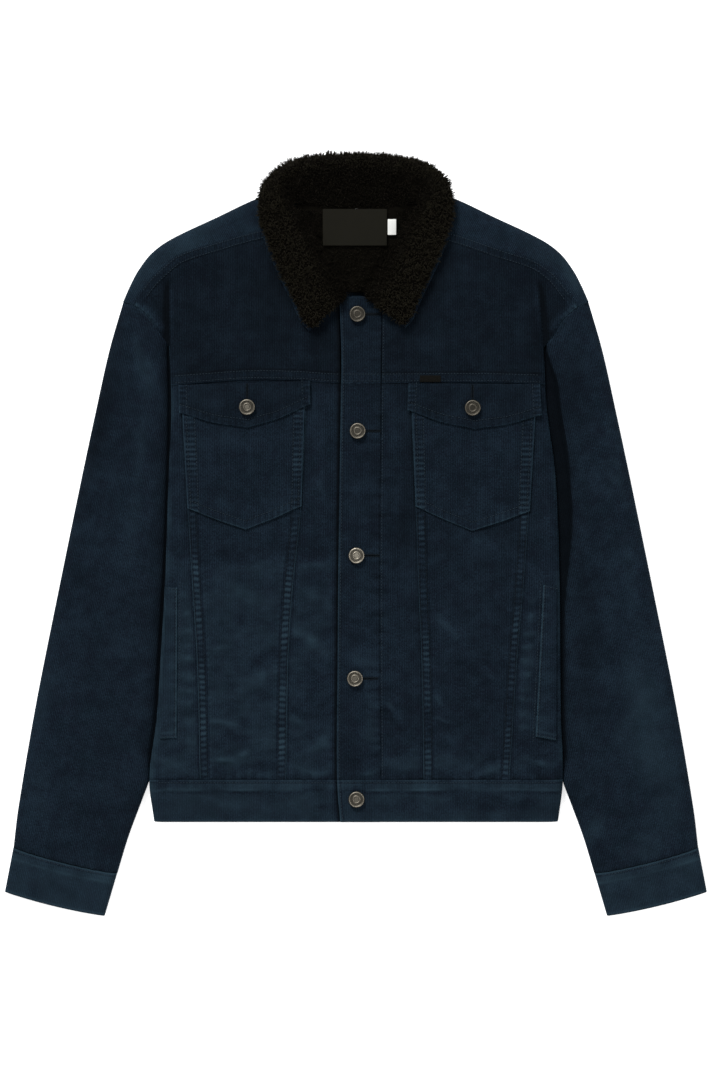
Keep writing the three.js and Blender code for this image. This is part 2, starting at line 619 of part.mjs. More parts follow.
function addSleeves() {
  const across = [0, 0.015, 0.05, 0.11, 0.22, 0.36, 0.5, 0.64, 0.78, 0.89, 0.95, 0.985, 1];
  const up = [0, 0.03, 0.08, ...steps(14).slice(2)];
  for (const side of SIDES) {
    const grid = drawnIn(sleeveGrid(side, across, up));
    const rows = grid.map((row, r) => {
      const width = Math.hypot(row[0][0] - row.at(-1)[0], row[0][1] - row.at(-1)[1]);
      const besideBody = row.at(-1)[1] > WAIST_SEAM_Y;
      return {
        outer: row.map(([x, y], c) => {
          const outside = round(across[c] * width, 15);
          const inside = round((1 - across[c]) * width, besideBody ? 34 : 15);
          const low = mix(besideBody ? 7 : SLEEVE_BACK + 1.2, SLEEVE_BACK + 1.2, 1 - across[c]);
          const crown = 1.2 * Math.sin(Math.PI * across[c]) * (1 - up[r] * 0.4);
          return [x, y, mix(low, SLEEVE_TOP + crown, Math.min(outside, inside))];
        }),
        inner: row.map(([x, y]) => [x, y, SLEEVE_BACK + SEAM_GAP]),
      };
    });
    add(`sleeve_top_${side.name}`, wallMesh(rows), 'corduroy');
    const flat = drawnIn(sleeveGrid(side, [0, 0.25, 0.5, 0.75, 1], up));
    const outline = [
      ...flat.map((row) => row[0]), ...flat.at(-1).slice(1, -1),
      ...flat.map((row) => row.at(-1)).reverse(), ...flat[0].slice(1, -1).reverse(),
    ];
    add(`sleeve_under_${side.name}`, plate(outline, 0, SLEEVE_BACK, 1.4), 'corduroy');
  }
}

// Cuff: one band all round the sleeve's end, pressed flat, with a thin slit through it
function addCuffs() {
  const wall = 4.6;
  const height = 12.8;
  const lengthwise = steps(4);
  const ring = (end, shrink) => {
    const half = height / 2 - shrink;
    const quarter = [0, 0.25, 0.5, 0.75, 1].map((t) => (t * Math.PI) / 2);
    const arc = quarter.map((a) => [shrink + half * (1 - Math.sin(a)), half * Math.cos(a)]);
    const out = arc.reverse().map(([inset, z]) => ({ inset, z }));
    const sides = [
      ...out, { middle: 0.33, z: half }, { middle: 0.66, z: half },
      ...out.map(({ inset, z }) => ({ far: inset, z })).reverse(),
    ];
    const lower = sides.slice(1, -1).reverse().map((point) => ({ ...point, z: -point.z }));
    return [...sides, ...lower].map((point) => {
      const [ax, ay] = end(0);
      const [bx, by] = end(1);
      const length = Math.hypot(bx - ax, by - ay);
      let t = point.middle;
      if (point.inset !== undefined) t = point.inset / length;
      if (point.far !== undefined) t = 1 - point.far / length;
      const [x, y] = end(t);
      return [x, y, height / 2 + point.z];
    });
  };
  for (const { name, sign } of SIDES) {
    const rows = lengthwise.map((v) => {
      const start = v === 0 ? SEAM_GAP / 48 : v;
      const line = cuffLine(mix(CUFF.topOut, CUFF.endOut, start), mix(CUFF.topOutY, CUFF.endOutY, start),
        mix(CUFF.topIn, CUFF.endIn, start), mix(CUFF.topInY, CUFF.endInY, start));
      const end = (t) => [sign * line(t)[0], line(t)[1]];
      return { outer: ring(end, 0), inner: ring(end, wall) };
    });
    add(`cuff_${name}`, tubeMesh(rows), 'corduroy');
  }
}

// Closed tube wall through rows of outer and inner loops
function tubeMesh(rows) {
  const count = rows[0].outer.length;
  const positions = [];
  rows.forEach((row) => positions.push(...row.outer.flat(), ...row.inner.flat()));
  const outer = (r, c) => r * 2 * count + (c % count);
  const inner = (r, c) => r * 2 * count + count + (c % count);
  const index = [];
  const quad = (a, b, c, d) => index.push(a, b, c, a, c, d);
  const last = rows.length - 1;
  for (let c = 0; c < count; c++) {
    for (let r = 0; r < last; r++) {
      quad(outer(r, c), outer(r, c + 1), outer(r + 1, c + 1), outer(r + 1, c));
      quad(inner(r, c), inner(r + 1, c), inner(r + 1, c + 1), inner(r, c + 1));
    }
    quad(inner(0, c), inner(0, c + 1), outer(0, c + 1), outer(0, c));
    quad(outer(last, c), outer(last, c + 1), inner(last, c + 1), inner(last, c));
  }
  return facingOut(positions, index);
}

// Sections of the collar all round, from the right front edge to the left one
function collarSections() {
  const section = (row, sign) => ({ ...row, inX: sign * row.inX, outX: sign * row.outX });
  const right = COLLAR.map((row) => section(row, 1));
  const left = COLLAR.slice(0, -1).map((row) => section(row, -1)).reverse();
  return [...right, ...left];
}

function addCollar() {
  const topT = [0, 0.07, 0.16, 0.3, 0.5, 0.75, 0.93, 1];
  const rows = collarSections().map((row) => {
    const at = (t, z) => [mix(row.inX, row.outX, t), mix(row.inY, row.outY, t), z];
    const edge = row.under + COLLAR_PILE * 0.45;
    const leaf = row.under + COLLAR_PILE;
    const inner = Math.max(row.inward + 3, mix(row.inward, row.crest, 0.35));
    const topZ = (t) => {
      if (t < row.roll) return mix(inner, row.crest, Math.sin((Math.PI / 2) * (t / row.roll)));
      const past = (t - row.roll) / (1 - row.roll);
      return past > 0.97 ? edge : mix(row.crest, Math.min(leaf, row.crest - 1), ease(past * 0.9));
    };
    const bottomZ = (t) => mix(row.inward, row.under, ease((t - 0.1) / 0.12));
    return { outer: topT.map((t) => at(t, topZ(t))), inner: topT.map((t) => at(t, bottomZ(t))) };
  });
  add('collar_top', wallMesh(rows), 'pile');
}

// Corduroy under side of the collar's leaf, its edge a little past the pile
function addUnderCollar() {
  const rows = collarSections().map((row) => {
    const length = Math.hypot(row.outX - row.inX, row.outY - row.inY);
    const points = [-20, -11, -4, row.lip].map((d) => {
      const t = 1 + d / length;
      return [mix(row.inX, row.outX, t), mix(row.inY, row.outY, t)];
    });
    const top = row.under - SEAM_GAP;
    return {
      outer: points.map(([x, y]) => [x, y, top]),
      inner: points.map(([x, y]) => [x, y, top - UNDER_COLLAR_WALL]),
    };
  });
  add('under_collar', wallMesh(rows), 'corduroy');
}

// Pile lining that shows in the neck, with the blank labels on it
function addNeck() {
  const levels = [262, 275, 293, 315, 337, 350];
  const inset = 1.2;
  const outline = [
    ...levels.map((y) => [neckEdge.right(y) - inset, y]),
    ...levels.reverse().map((y) => [-neckEdge.left(y) + inset, y]),
  ];
  const lining = BODY_BACK + 6.2;
  add('neck_lining', plate(outline, BODY_BACK + SEAM_GAP, lining, 1.5), 'pile');
  const label = [[-35.8, 312], [33.6, 312], [33.6, 351.5], [-35.8, 351.5]];
  add('neck_label', plate(label, lining + SEAM_GAP, lining + SEAM_GAP + 0.9, 0.2), 'satin');
  const size = [[34.4, 323.5], [43.6, 323.5], [43.6, 340.6], [34.4, 340.6]];
  add('size_label', plate(size, lining + SEAM_GAP, lining + SEAM_GAP + 0.8, 0.2), 'paper');
}

// Piece with a pointed lower edge, lying on the front
function pointedGrid(corners, sign, across, up) {
  const at = ([out, y]) => [sign * out, y];
  const line = (a, b) => (t) => [0, 1].map((axis) => mix(at(a)[axis], at(b)[axis], t));
  const bottom = (t) => (t < 0.5 ? line(corners.inner, corners.point)(t * 2)
    : line(corners.point, corners.outer)(t * 2 - 1));
  return patch({
    bottom,
    top: line(corners.innerTop, corners.outerTop),
    start: line(corners.inner, corners.innerTop),
    end: line(corners.outer, corners.outerTop),
    across, up,
  });
}

// Wall that follows what it lies on, moved out from it
const lying = (grid, lift, thick) => clothWall(grid,
  (x, y) => frontZ(x, y) + lift + thick, (x, y) => frontZ(x, y) + lift);

const BULGE = 0.55;
const POCKET_LIFT = 0.85;
const FLAP_LIFT = POCKET_LIFT + POCKET_WALL + BULGE;

function addPockets() {
  for (const { name, sign } of SIDES) {
    const across = steps(8);
    const pocket = pointedGrid(POCKET[name], sign, across, steps(7));
    add(`chest_pocket_${name}`, lying(pocket, POCKET_LIFT, POCKET_WALL), 'corduroy');
    const flap = pointedGrid(FLAP[name], sign, [0, 0.06, ...across.slice(1, -1), 0.94, 1], [0, 0.12, 0.4, 0.7, 1]);
    add(`flap_${name}`, lying(flap, FLAP_LIFT, FLAP_WALL), 'corduroy');
    const welt = WELT[name];
    const line = (a, b) => (t) => [sign * mix(a[0], b[0], t), mix(a[1], b[1], t)];
    const grid = patch({
      bottom: line(welt.inner, welt.outer), top: line(welt.innerTop, welt.outerTop),
      start: line(welt.inner, welt.innerTop), end: line(welt.outer, welt.outerTop),
      across: [0, 0.35, 0.7, 1], up: steps(8),
    });
    add(`welt_${name}`, lying(grid, POCKET_LIFT, POCKET_WALL), 'corduroy');
  }
  const tab = [[68.9, 164.4], [91.7, 164.4], [91.7, 171.6], [68.9, 171.6]];
  const tabZ = frontZ(80, 168) + 0.6;
  add('tab', plate(tab, tabZ, tabZ + 0.9, 0.2), 'satin');
}

// Shank button: a short neck under a dished cap with a raised rim and boss
function buttonGeometry() {
  const profile = [[0, 0], [4.6, 0], [4.6, 1.4], [BUTTON_RADIUS, 1.8], [BUTTON_RADIUS, 2.9], [7.2, 3.7],
    [4.4, 3.1], [2.8, 4.0], [0, 4.3]];
  const lathe = new THREE.LatheGeometry(profile.map(([r, z]) => new THREE.Vector2(r, z)), 14);
  return lathe.rotateX(Math.PI / 2);
}

function addButtons() {
  FRONT_BUTTONS.forEach(({ x, y }, i) => {
    const base = i === FRONT_BUTTONS.length - 1 ? PLACKET_TOP + 1.2 : PLACKET_TOP + 1.0;
    add(`button_${i + 1}`, buttonGeometry(), 'metal', [x, y, base]);
  });
  for (const { name } of SIDES) {
    const { x, y } = FLAP_BUTTON[name];
    add(`flap_button_${name}`, buttonGeometry(), 'metal', [x, y, frontZ(x, y) + FLAP_LIFT + FLAP_WALL + 0.5]);
  }
}

await addBackYoke();
addBackPanels();
for (const side of SIDES) {
  addLowerFront(side);
  const yoke = clothWall(drawnIn(frontYokeGrid(side)), frontZ, () => BODY_BACK + SEAM_GAP);
  add(`front_yoke_${side.name}`, yoke, 'corduroy');
}
addClosing();
addWaistband();
addSleeves();
addCuffs();
addCollar();
addUnderCollar();
addNeck();
addPockets();
addButtons();

export default part;
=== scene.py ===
import math

import bmesh
import bpy
import numpy as np
from bpy.props import FloatProperty, FloatVectorProperty, IntProperty, PointerProperty
from bpy.types import Operator, Panel, PropertyGroup
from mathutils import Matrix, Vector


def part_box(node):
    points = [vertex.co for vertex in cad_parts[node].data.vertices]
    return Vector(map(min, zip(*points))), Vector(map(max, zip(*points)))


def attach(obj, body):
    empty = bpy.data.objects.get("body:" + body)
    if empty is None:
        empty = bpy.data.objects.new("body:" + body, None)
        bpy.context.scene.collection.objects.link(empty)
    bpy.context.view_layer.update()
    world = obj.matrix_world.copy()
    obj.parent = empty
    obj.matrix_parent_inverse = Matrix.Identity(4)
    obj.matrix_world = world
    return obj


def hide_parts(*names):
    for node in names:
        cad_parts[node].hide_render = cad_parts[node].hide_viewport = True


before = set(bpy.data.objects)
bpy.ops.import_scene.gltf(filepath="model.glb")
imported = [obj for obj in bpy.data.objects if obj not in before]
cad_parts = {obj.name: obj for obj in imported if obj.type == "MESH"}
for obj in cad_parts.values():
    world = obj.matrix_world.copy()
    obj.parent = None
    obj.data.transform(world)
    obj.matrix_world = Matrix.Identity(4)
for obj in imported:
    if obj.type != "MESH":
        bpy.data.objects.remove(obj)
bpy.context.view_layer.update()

bl_info = {
    "name": "Sherpa lined jacket",
    "version": (1, 0, 0),
    "blender": (4, 5, 0),
    "location": "3D View > Sidebar > Jacket",
    "description": "Dresses a corduroy jacket with a pile collar, laid flat",
    "category": "Object",
}

# The cutting tables are in millimetres. Meshes are made in metres.
MM = 0.001
SIDES = (("left", -1), ("right", 1))


def top_of(node):
    """Height of a node's top over the surface, in millimetres."""
    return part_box(node)[1].z / MM


# Levels taken from the frame
BODY_BACK = top_of("back_panel")
SLEEVE_BACK = top_of("sleeve_under_left")
BAND_TOP = top_of("button_band")
LINING_TOP = top_of("neck_lining")
CUFF_TOP = top_of("cuff_left")
WAISTBAND_HEIGHT = 46
HEM_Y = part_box("placket")[0].y / MM - WAISTBAND_HEIGHT
WAIST_Y = -265
BUTTON_RADIUS = (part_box("button_1")[1].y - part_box("button_1")[0].y) / 2 / MM

# Levels of the fronts
BODY_TOP = 15.4
SLEEVE_TOP = 12.6
PLACKET_TOP = 17.4
WAISTBAND_TOP = 16.6
FOLD_EDGE = 9.0
FOLD_ROUND = 13
ARMPIT_Y = 203
FOLD_START_Y = 285
BACK_SEAM_Y = 172
NECK_Y = 352.6
SEAM_GAP = 0.12
POCKET_LIFT = 0.85
POCKET_WALL = 1.6
POCKET_BOW = 0.8
FLAP_BOW = 2.6
FLAP_LIFT = 3.0
FLAP_WALL = 2.1
COLLAR_PILE = 8.5
UNDER_COLLAR_WALL = 1.8


def table(columns, rows):
    """Rows of a cutting table, each by the names of its columns."""
    return [dict(zip(columns.split(), row)) for row in rows]


# Seams and edges. left and right are distances from the middle on the viewer's two sides.
SIDE_FOLD = table("y left right", [
    (-311, 218.3, 218.8), (-265, 223.6, 224.2), (-198, 215.4, 222.0), (-138, 211.5, 221.2),
    (-45, 206.2, 220.5), (64, 202.5, 216.0), (138, 199.6, 206.5), (203, 201.6, 203.0), (275, 201.6, 196.5),
])
ARMHOLE = table("y left right", [
    (203.0, 201.6, 203.0), (215.0, 210.4, 214.5), (229.6, 220.9, 222.5), (242.0, 231.4, 235.0),
    (247.2, 239.8, 242.5), (252.0, 252.0, 252.0),
])
SHOULDER_EDGE = table("out y", [
    (86, 368.5), (105, 364.5), (150, 343.5), (201, 319.0), (222, 303.5), (236, 285.0), (244, 270.0),
    (252, 252.0),
])
SHOULDER_SEAM = table("out left right", [
    (57, 338.0, 336.0), (105, 328.1, 325.0), (156, 313.6, 307.7), (193, 300.8, 295.5), (214, 283.5, 281.0),
    (226, 271.0, 266.9), (235, 257.5, 253.5), (238, 247.0, 245.4),
])
NECK_EDGE = table("y left right", [
    (163, 16.6, 27.6), (248, 18.2, 28.4), (262, 19.0, 30.0), (275, 26.0, 35.0), (293, 38.5, 42.5),
    (315, 48.5, 52.0), (337, 57.5, 58.5), (359, 76.0, 74.0), (368.5, 86.0, 86.0),
])
PLACKET = table("y free seam", [
    (-311, -17.0, 26.5), (-265, -20.4, 26.5), (-124, -19.8, 25.6), (-28, -18.8, 25.5), (160, -16.0, 27.0),
    (189, -15.5, 27.2), (248, -17.6, 27.9),
])
CROWN_X, CROWN_Y, CROWN_LEFT, CROWN_RIGHT, CROWN_END = 2.3, 257.6, 247, 243, 248
INNER_SEAM = table("y left right", [
    (-265, 75.0, 73.0), (-143, 73.0, 71.0), (-59, 68.0, 67.5), (27, 59.0, 64.5), (164, 52.0, 58.0),
])
OUTER_SEAM = table("y left right", [
    (-265, 168.5, 166.0), (-142, 171.5, 174.0), (-59, 176.6, 181.0), (25, 181.5, 187.0),
    (164, 189.5, 193.0),
])
YOKE_SEAM = table("x y", [
    (-199, 161.0), (-164, 163.5), (-114, 166.8), (-63, 166.0), (-18, 163.2), (130, 163.8), (205, 162.0),
])
SLEEVE_OUTER = table("y out", [
    (252, 252.0), (200, 267.0), (130, 282.6), (58.5, 297.8), (-70.8, 324.3), (-182, 346.4), (-296, 365.8),
    (-339, 371.0),
])
SLEEVE_INNER = table("y out", [
    (-269, 224.6), (-298, 235.6), (-329, 247.0), (-367, 258.5),
])
# Corners of the cuff's seam and end, outer edge then inner edge
CUFF_SEAM = ((371.0, -339.0), (258.5, -367.0))
CUFF_END = ((380.2, -386.7), (272.0, -412.8))
CUFF_BOW = 2.5

POCKET = {
    "left": dict(inner_top=(54.5, 150), inner=(58.5, 30.5), point=(119, 5), outer=(181.8, 28),
                 outer_top=(188.5, 150)),
    "right": dict(inner_top=(60.0, 150), inner=(64.5, 30), point=(125.4, 3.5), outer=(188, 25),
                  outer_top=(195.2, 150)),
}
FLAP = {
    "left": dict(inner_top=(49.5, 165.4), inner=(49, 140.5), point=(116.5, 114.5), outer=(190.6, 131.2),
                 outer_top=(191.4, 161.2)),
    "right": dict(inner_top=(56.8, 163.0), inner=(55.6, 134), point=(127.8, 113.2), outer=(200.6, 128.8),
                  outer_top=(198.9, 162.2)),
}
WELT = {
    "left": dict(inner_top=(192.6, -57.5), inner=(193.6, -219.6), outer=(211.6, -220.5),
                 outer_top=(204.6, -56.8)),
    "right": dict(inner_top=(202.4, -54.6), inner=(194.1, -218.3), outer=(216.8, -222.5),
                  outer_top=(217.2, -56.6)),
}
FRONT_BUTTONS = ((1.7, 237.6), (1.9, 111.6), (0.7, -22.8), (-1.0, -155.5), (0.7, -285.6))
FLAP_BUTTONS = {"left": (-117.2, 137.1), "right": (125.8, 136.2)}

# Collar sections from the front edge to the middle of the back
COLLAR = table("inX inY outX outY roll crest under inward lip", [
    (10, 256, 49, 221, 0.30, 27.0, 18.5, 18.5, 2.2), (12, 264, 58, 231, 0.30, 28.5, 18.5, 18.5, 2.2),
    (21, 277, 68, 253, 0.28, 29.5, 18.5, 16.6, 2.2), (30, 293, 79, 275, 0.26, 30.5, 18.5, 16.0, 2.2),
    (39, 309, 88, 295, 0.26, 31.0, 18.5, 16.0, 2.2), (47, 324, 96, 315, 0.26, 31.0, 18.5, 16.0, 2.2),
    (54, 338, 103, 335, 0.28, 30.5, 18.5, 16.0, 1.6), (61, 348, 105, 352, 0.32, 30.0, 18.5, 16.0, 0.2),
    (66, 355, 104, 368, 0.42, 29.0, 18.5, 16.0, -2), (66, 358, 98, 382, 0.60, 27.0, 13.0, 13.0, -2),
    (60, 358, 89, 393, 0.78, 23.5, 6.0, 9.0, -2), (50, 356, 74, 403, 0.86, 20.5, 2.3, 7.6, -2),
    (36, 354, 52, 409, 0.88, 19.0, 2.3, 7.6, -2), (19, 353, 27, 412, 0.88, 18.5, 2.3, 7.6, -2),
    (0, 353, 0, 412.8, 0.88, 18.5, 2.3, 7.6, -2),
])

# Largest folds of the front: x and y of the middle, direction in degrees, half length, half width, height
FRONT_FOLDS = [
    (-110, -215, 24, 70, 13, 1.5), (-60, -120, -32, 60, 12, 1.2), (-140, -60, 74, 60, 15, 1.1),
    (60, -210, -28, 65, 12, 1.5), (115, -120, 62, 75, 16, 1.2), (120, -235, 8, 55, 11, 1.1),
    (40, 40, 80, 80, 11, 0.9), (-36, 60, 97, 85, 10, 1.0), (-120, 235, 12, 75, 22, 1.2),
    (120, 228, -14, 75, 22, 1.2),
]
# Creases pressed into the lower fronts. A negative height is a trough.
FRONT_CREASES = [
    (-120, -19, 11, 40, 8.0, -1.1), (-104, -34, 3, 24, 6.0, 1.1), (-124, -62, -30, 26, 9.0, 0.9),
    (-146, -123, 6, 10, 3.6, 1.3), (-104, -137, 25, 22, 7.0, -1.1), (-108, -158, 25, 25, 7.0, 1.0),
    (-144, -203, -8, 13, 3.4, 1.6), (-136, -216, -12, 17, 5.0, -1.1), (-140, -246, -3, 13, 3.2, 1.9),
    (-121, -238, 32, 13, 4.0, 1.2), (-104, -251, 4, 20, 5.0, -1.2), (-96, -222, 30, 18, 6.0, 0.7),
    (-43, -20, 10, 20, 7.0, -1.0), (-44, -36, 5, 20, 6.0, 1.0), (-40, -70, -24, 18, 6.0, 0.6),
    (-51, -114, -40, 20, 5.0, 1.4), (-40, -142, -4, 16, 5.0, -0.8), (-59, -194, -25, 12, 3.4, -1.2),
    (-62, -202, -25, 11, 3.4, 1.4), (-32, -184, 50, 14, 4.0, -0.9), (-35, -224, 38, 18, 7.0, 1.1),
    (-54, -256, -20, 12, 3.2, 1.6), (-34, -257, 12, 10, 3.0, 1.1), (-38, 60, -86, 50, 7.0, 0.8),
    (-186, 70, 84, 40, 5.0, 0.8), (-190, 8, -70, 26, 5.0, 0.7), (-200, -248, -24, 20, 4.5, 1.1),
    (40, -188, -42, 14, 4.0, 1.4), (46, -209, -52, 24, 5.0, -1.1), (58, -226, -34, 14, 4.5, 1.0),
    (54, -44, -10, 16, 5.0, 0.9), (53, -122, -20, 14, 4.5, 0.8), (44, -84, 10, 12, 4.0, -0.7),
    (44, 30, 74, 30, 6.0, 0.7), (44, 96, -76, 30, 6.0, 0.8), (128, -6, -30, 37, 8.0, 1.2),
    (80, -17, -5, 15, 5.0, -1.0), (150, 4, -34, 24, 6.0, -0.7), (98, -98, -48, 27, 7.0, 1.4),
    (137, -148, -30, 18, 5.0, 0.9), (92, -182, -45, 9, 3.5, 1.4), (96, -201, -38, 10, 3.6, 1.0),
    (101, -220, -25, 12, 3.6, 1.2), (98, -232, -20, 12, 4.0, -1.0), (129, -195, -15, 14, 5.0, -0.9),
    (142, -247, 20, 13, 3.6, -1.3), (140, -257, 14, 16, 3.6, 1.1), (200, -246, -8, 16, 4.0, 1.4),
    (206, 40, -84, 46, 5.0, 0.8),
]
# Puckers drawn up beside the hand pockets: height of each, how long, how wide and how high
POCKET_PUCKERS = {
    "left": ((-66, 6, 3.2, 0.7), (-84, 9, 5.0, 1.2), (-104, 10, 4.2, 1.1), (-121, 9, 2.8, 0.9),
             (-134, 10, 4.4, 1.4), (-154, 9, 4.8, 1.3), (-169, 9, 2.8, 1.0), (-183, 8, 3.4, 1.2),
             (-202, 8, 4.6, 0.9), (-223, 10, 4.0, 1.2)),
    "right": ((-72, 7, 3.4, 0.7), (-90, 9, 4.6, 0.9), (-108, 8, 3.6, 1.1), (-122, 9, 3.2, 0.8),
              (-137, 10, 4.6, 1.2), (-152, 9, 3.8, 1.3), (-167, 9, 3.0, 0.9), (-178, 8, 3.4, 1.1),
              (-195, 10, 4.4, 1.3), (-209, 10, 3.6, 1.0)),
}
# Puckers across the placket's sewn edge: height, direction, half length, half width and depth
PLACKET_PUCKERS = (
    (143, 4, 9, 2.4, -0.7), (126, -6, 12, 3.0, -0.6), (99, 3, 8, 2.2, -0.8), (83, -3, 13, 2.8, -0.6),
    (58, 6, 9, 2.4, -0.8), (41, -4, 10, 2.6, -0.6), (20, 2, 12, 2.4, -0.8), (-1, -5, 8, 2.2, -0.6),
    (-31, 4, 10, 2.6, -0.8), (-47, 0, 8, 2.2, -0.9), (-62, -6, 14, 3.0, -0.7), (-88, 3, 9, 2.2, -1.0),
    (-106, -3, 13, 2.6, -0.9), (-119, 5, 8, 2.0, -0.7), (-147, -8, 9, 2.4, -0.8), (-168, 4, 13, 2.4, -1.0),
    (-179, -4, 9, 2.0, -0.8), (-190, -10, 14, 2.6, -1.1), (-199, -6, 11, 2.2, -1.1), (-218, 3, 9, 2.4, -0.8),
    (-227, -5, 10, 2.0, -0.7), (-240, 4, 13, 2.6, -0.9),
)
# Creases of the chest pockets, by their distance from the middle
POCKET_CREASES = ((120, 94, 20, 26, 6, 0.9), (96, 70, -14, 22, 5, 0.8), (140, 52, 34, 24, 6, -0.7),
                  (150, 86, 60, 20, 5, 0.7))
PLACKET_CREASES = [
    (-4, -96, -5, 13, 3.2, -0.8), (6, -138, -26, 15, 6.0, 1.3), (8, -259, 3, 16, 2.6, 1.5),
    (0, -246, -4, 18, 3.6, -0.8), (4, -214, -30, 14, 5.0, 0.7), (6, 52, 16, 15, 5.0, 0.8),
    (2, 84, -12, 14, 5.0, -0.6), (4, 206, 8, 14, 5.0, 0.6),
]
BAND_CREASES = [
    (-202, -277, 2, 22, 2.8, 1.2), (-150, -289, -14, 20, 4.0, 0.7), (-60, -286, 18, 26, 4.0, 0.8),
    (-40, -296, 12, 20, 4.0, -0.7), (70, -284, -4, 40, 4.0, 0.7), (152, -280, -9, 32, 4.0, 1.0),
    (160, -290, -8, 30, 4.0, -0.7), (196, -296, 14, 18, 4.0, 0.6),
]
YOKE_CREASES = [
    (-150, 205, -62, 40, 9.0, 0.7), (-70, 230, 70, 46, 10.0, 0.6), (-176, 250, -40, 26, 7.0, 0.9),
    (-182, 180, 30, 18, 5.0, 0.7), (150, 200, 60, 40, 9.0, 0.7), (74, 225, -70, 46, 10.0, 0.6),
    (182, 184, -34, 20, 5.0, 0.8), (44, 196, 8, 16, 4.5, 0.6),
]
SLEEVE_CREASES = [
    (-285, 30, 80, 120, 17, 1.5), (-250, -80, 66, 70, 10, -1.1), (-232, -160, 38, 34, 7, 1.1),
    (-240, -172, 34, 34, 7, -1.0), (-300, -210, -56, 44, 9, 1.0), (-318, -290, -24, 36, 7, -0.9),
    (-290, -322, 12, 34, 6, 0.9), (-226, 60, 84, 60, 8, -0.9), (-231, 196, -64, 42, 9, 1.2),
    (-234, 116, 86, 60, 13, 0.8), (286, 24, -80, 120, 17, 1.5), (252, -70, -68, 70, 10, -1.1),
    (236, -150, -34, 34, 7, 1.1), (244, -164, -30, 34, 7, -1.0), (306, -190, 52, 44, 9, 1.0),
    (322, -280, 20, 36, 7, -0.9), (296, -326, -10, 34, 6, 0.9), (232, 70, -84, 60, 8, -0.9),
    (250, 214, -62, 26, 8, 0.9), (270, 110, -76, 70, 14, 0.8),
]
# Broad places painted paler or darker: x, y, direction, half length, half width and tone. Some follow the
# nap, some are painted shade.
# On the sleeves: painted shade along the upper outer edges and in the hollow beside the body, and paler
# places of the nap.
SLEEVE_NAP_AND_SHADE = [
    (-278, 112, 78, 95, 12, -0.45), (-236, 190, -64, 46, 12, 0.20), (-238, 20, 83, 130, 20, 0.28),
    (-338, -170, 76, 60, 18, 0.26), (-345, -280, 78, 50, 20, 0.20), (240, 165, -80, 60, 20, -0.30),
    (276, 40, -78, 70, 20, -0.04), (320, -225, -76, 120, 34, 0.32), (249, -135, 88, 75, 13, -0.34),
    (258, -318, 66, 26, 10, 0.28), (306, -345, -14, 34, 14, 0.24),
]
# On the fronts: painted shade under the collar's leaves and beside the armholes, with paler and darker places
# of the nap.
FRONT_NAP_AND_SHADE = [
    (202, 10, -86, 150, 24, 0.20), (72, -248, 0, 60, 14, 0.34), (152, -248, 0, 50, 12, 0.32),
    (48, 4, 90, 40, 14, -0.22), (-62, 264, -60, 52, 16, -0.35), (80, 264, 60, 52, 14, -0.28),
    (-95, 255, -50, 40, 22, -0.22), (-40, 204, 90, 26, 14, -0.14), (196, 196, 90, 60, 12, -0.22),
    (-206, 216, 90, 40, 10, -0.25), (52, 30, 90, 110, 12, -0.10), (212, 224, 60, 18, 10, -0.35),
    (184, -150, 88, 80, 13, 0.22), (-44, -190, 90, 50, 13, -0.18), (86, -155, 80, 60, 13, 0.14),
]
# On the placket: painted shade under the collar at its top, paler and darker places of the nap lower down.
PLACKET_NAP_AND_SHADE = [
    (20, -195, 90, 85, 13, 0.32), (4, -90, 90, 80, 20, 0.07), (4, 215, 90, 46, 30, -0.26),
    (4, 46, 90, 26, 30, -0.14),
]
# On the waistband: darker towards its right end.
BAND_TONES = [
    (150, -286, 0, 54, 14, -0.22), (50, -290, 0, 40, 18, -0.06),
]
# On the shoulder strips: paler towards the shoulders, most near the right one's end.
SHOULDER_TONES = [
    (234, 276, -60, 22, 6, 0.40), (190, 318, -34, 50, 12, 0.12), (-180, 318, 38, 60, 16, 0.26),
    (-234, 278, 62, 26, 9, 0.14),
]


def length(name, description, default, least=0.0):
    """A size that a user would change, given in millimetres."""
    return FloatProperty(name=name, description=description, default=default * MM, min=least * MM,
                         unit="LENGTH", precision=4)


def colour(name, description, *default):
    return FloatVectorProperty(name=name, description=description, default=default,
                               subtype="COLOR", size=3, min=0, max=1)


class JacketSizes(PropertyGroup):
    """Sizes of the sewing and the pile."""

    wale: length("Wale", "Width of one corduroy rib with its groove", 1.9, 0.5)
    rope_pitch: length("Roping pitch", "Length of one pucker along a felled seam", 6.2, 2)
    rope_height: length("Roping height", "Height of a pucker over a felled seam", 0.75)
    stitch_pitch: length("Stitch pitch", "Distance from one stitch to the next", 3.3, 1)
    thread: length("Thread", "Width of the sewing thread", 0.75, 0.1)
    curl_length: length("Curl length", "Length that a lock of the pile stands out", 4.6, 1)
    collar_curls: IntProperty(
        name="Collar curls", description="Locks of pile on the collar", default=9600, min=10)
    lining_curls: IntProperty(
        name="Lining curls", description="Locks of pile in the neck", default=3200, min=10)


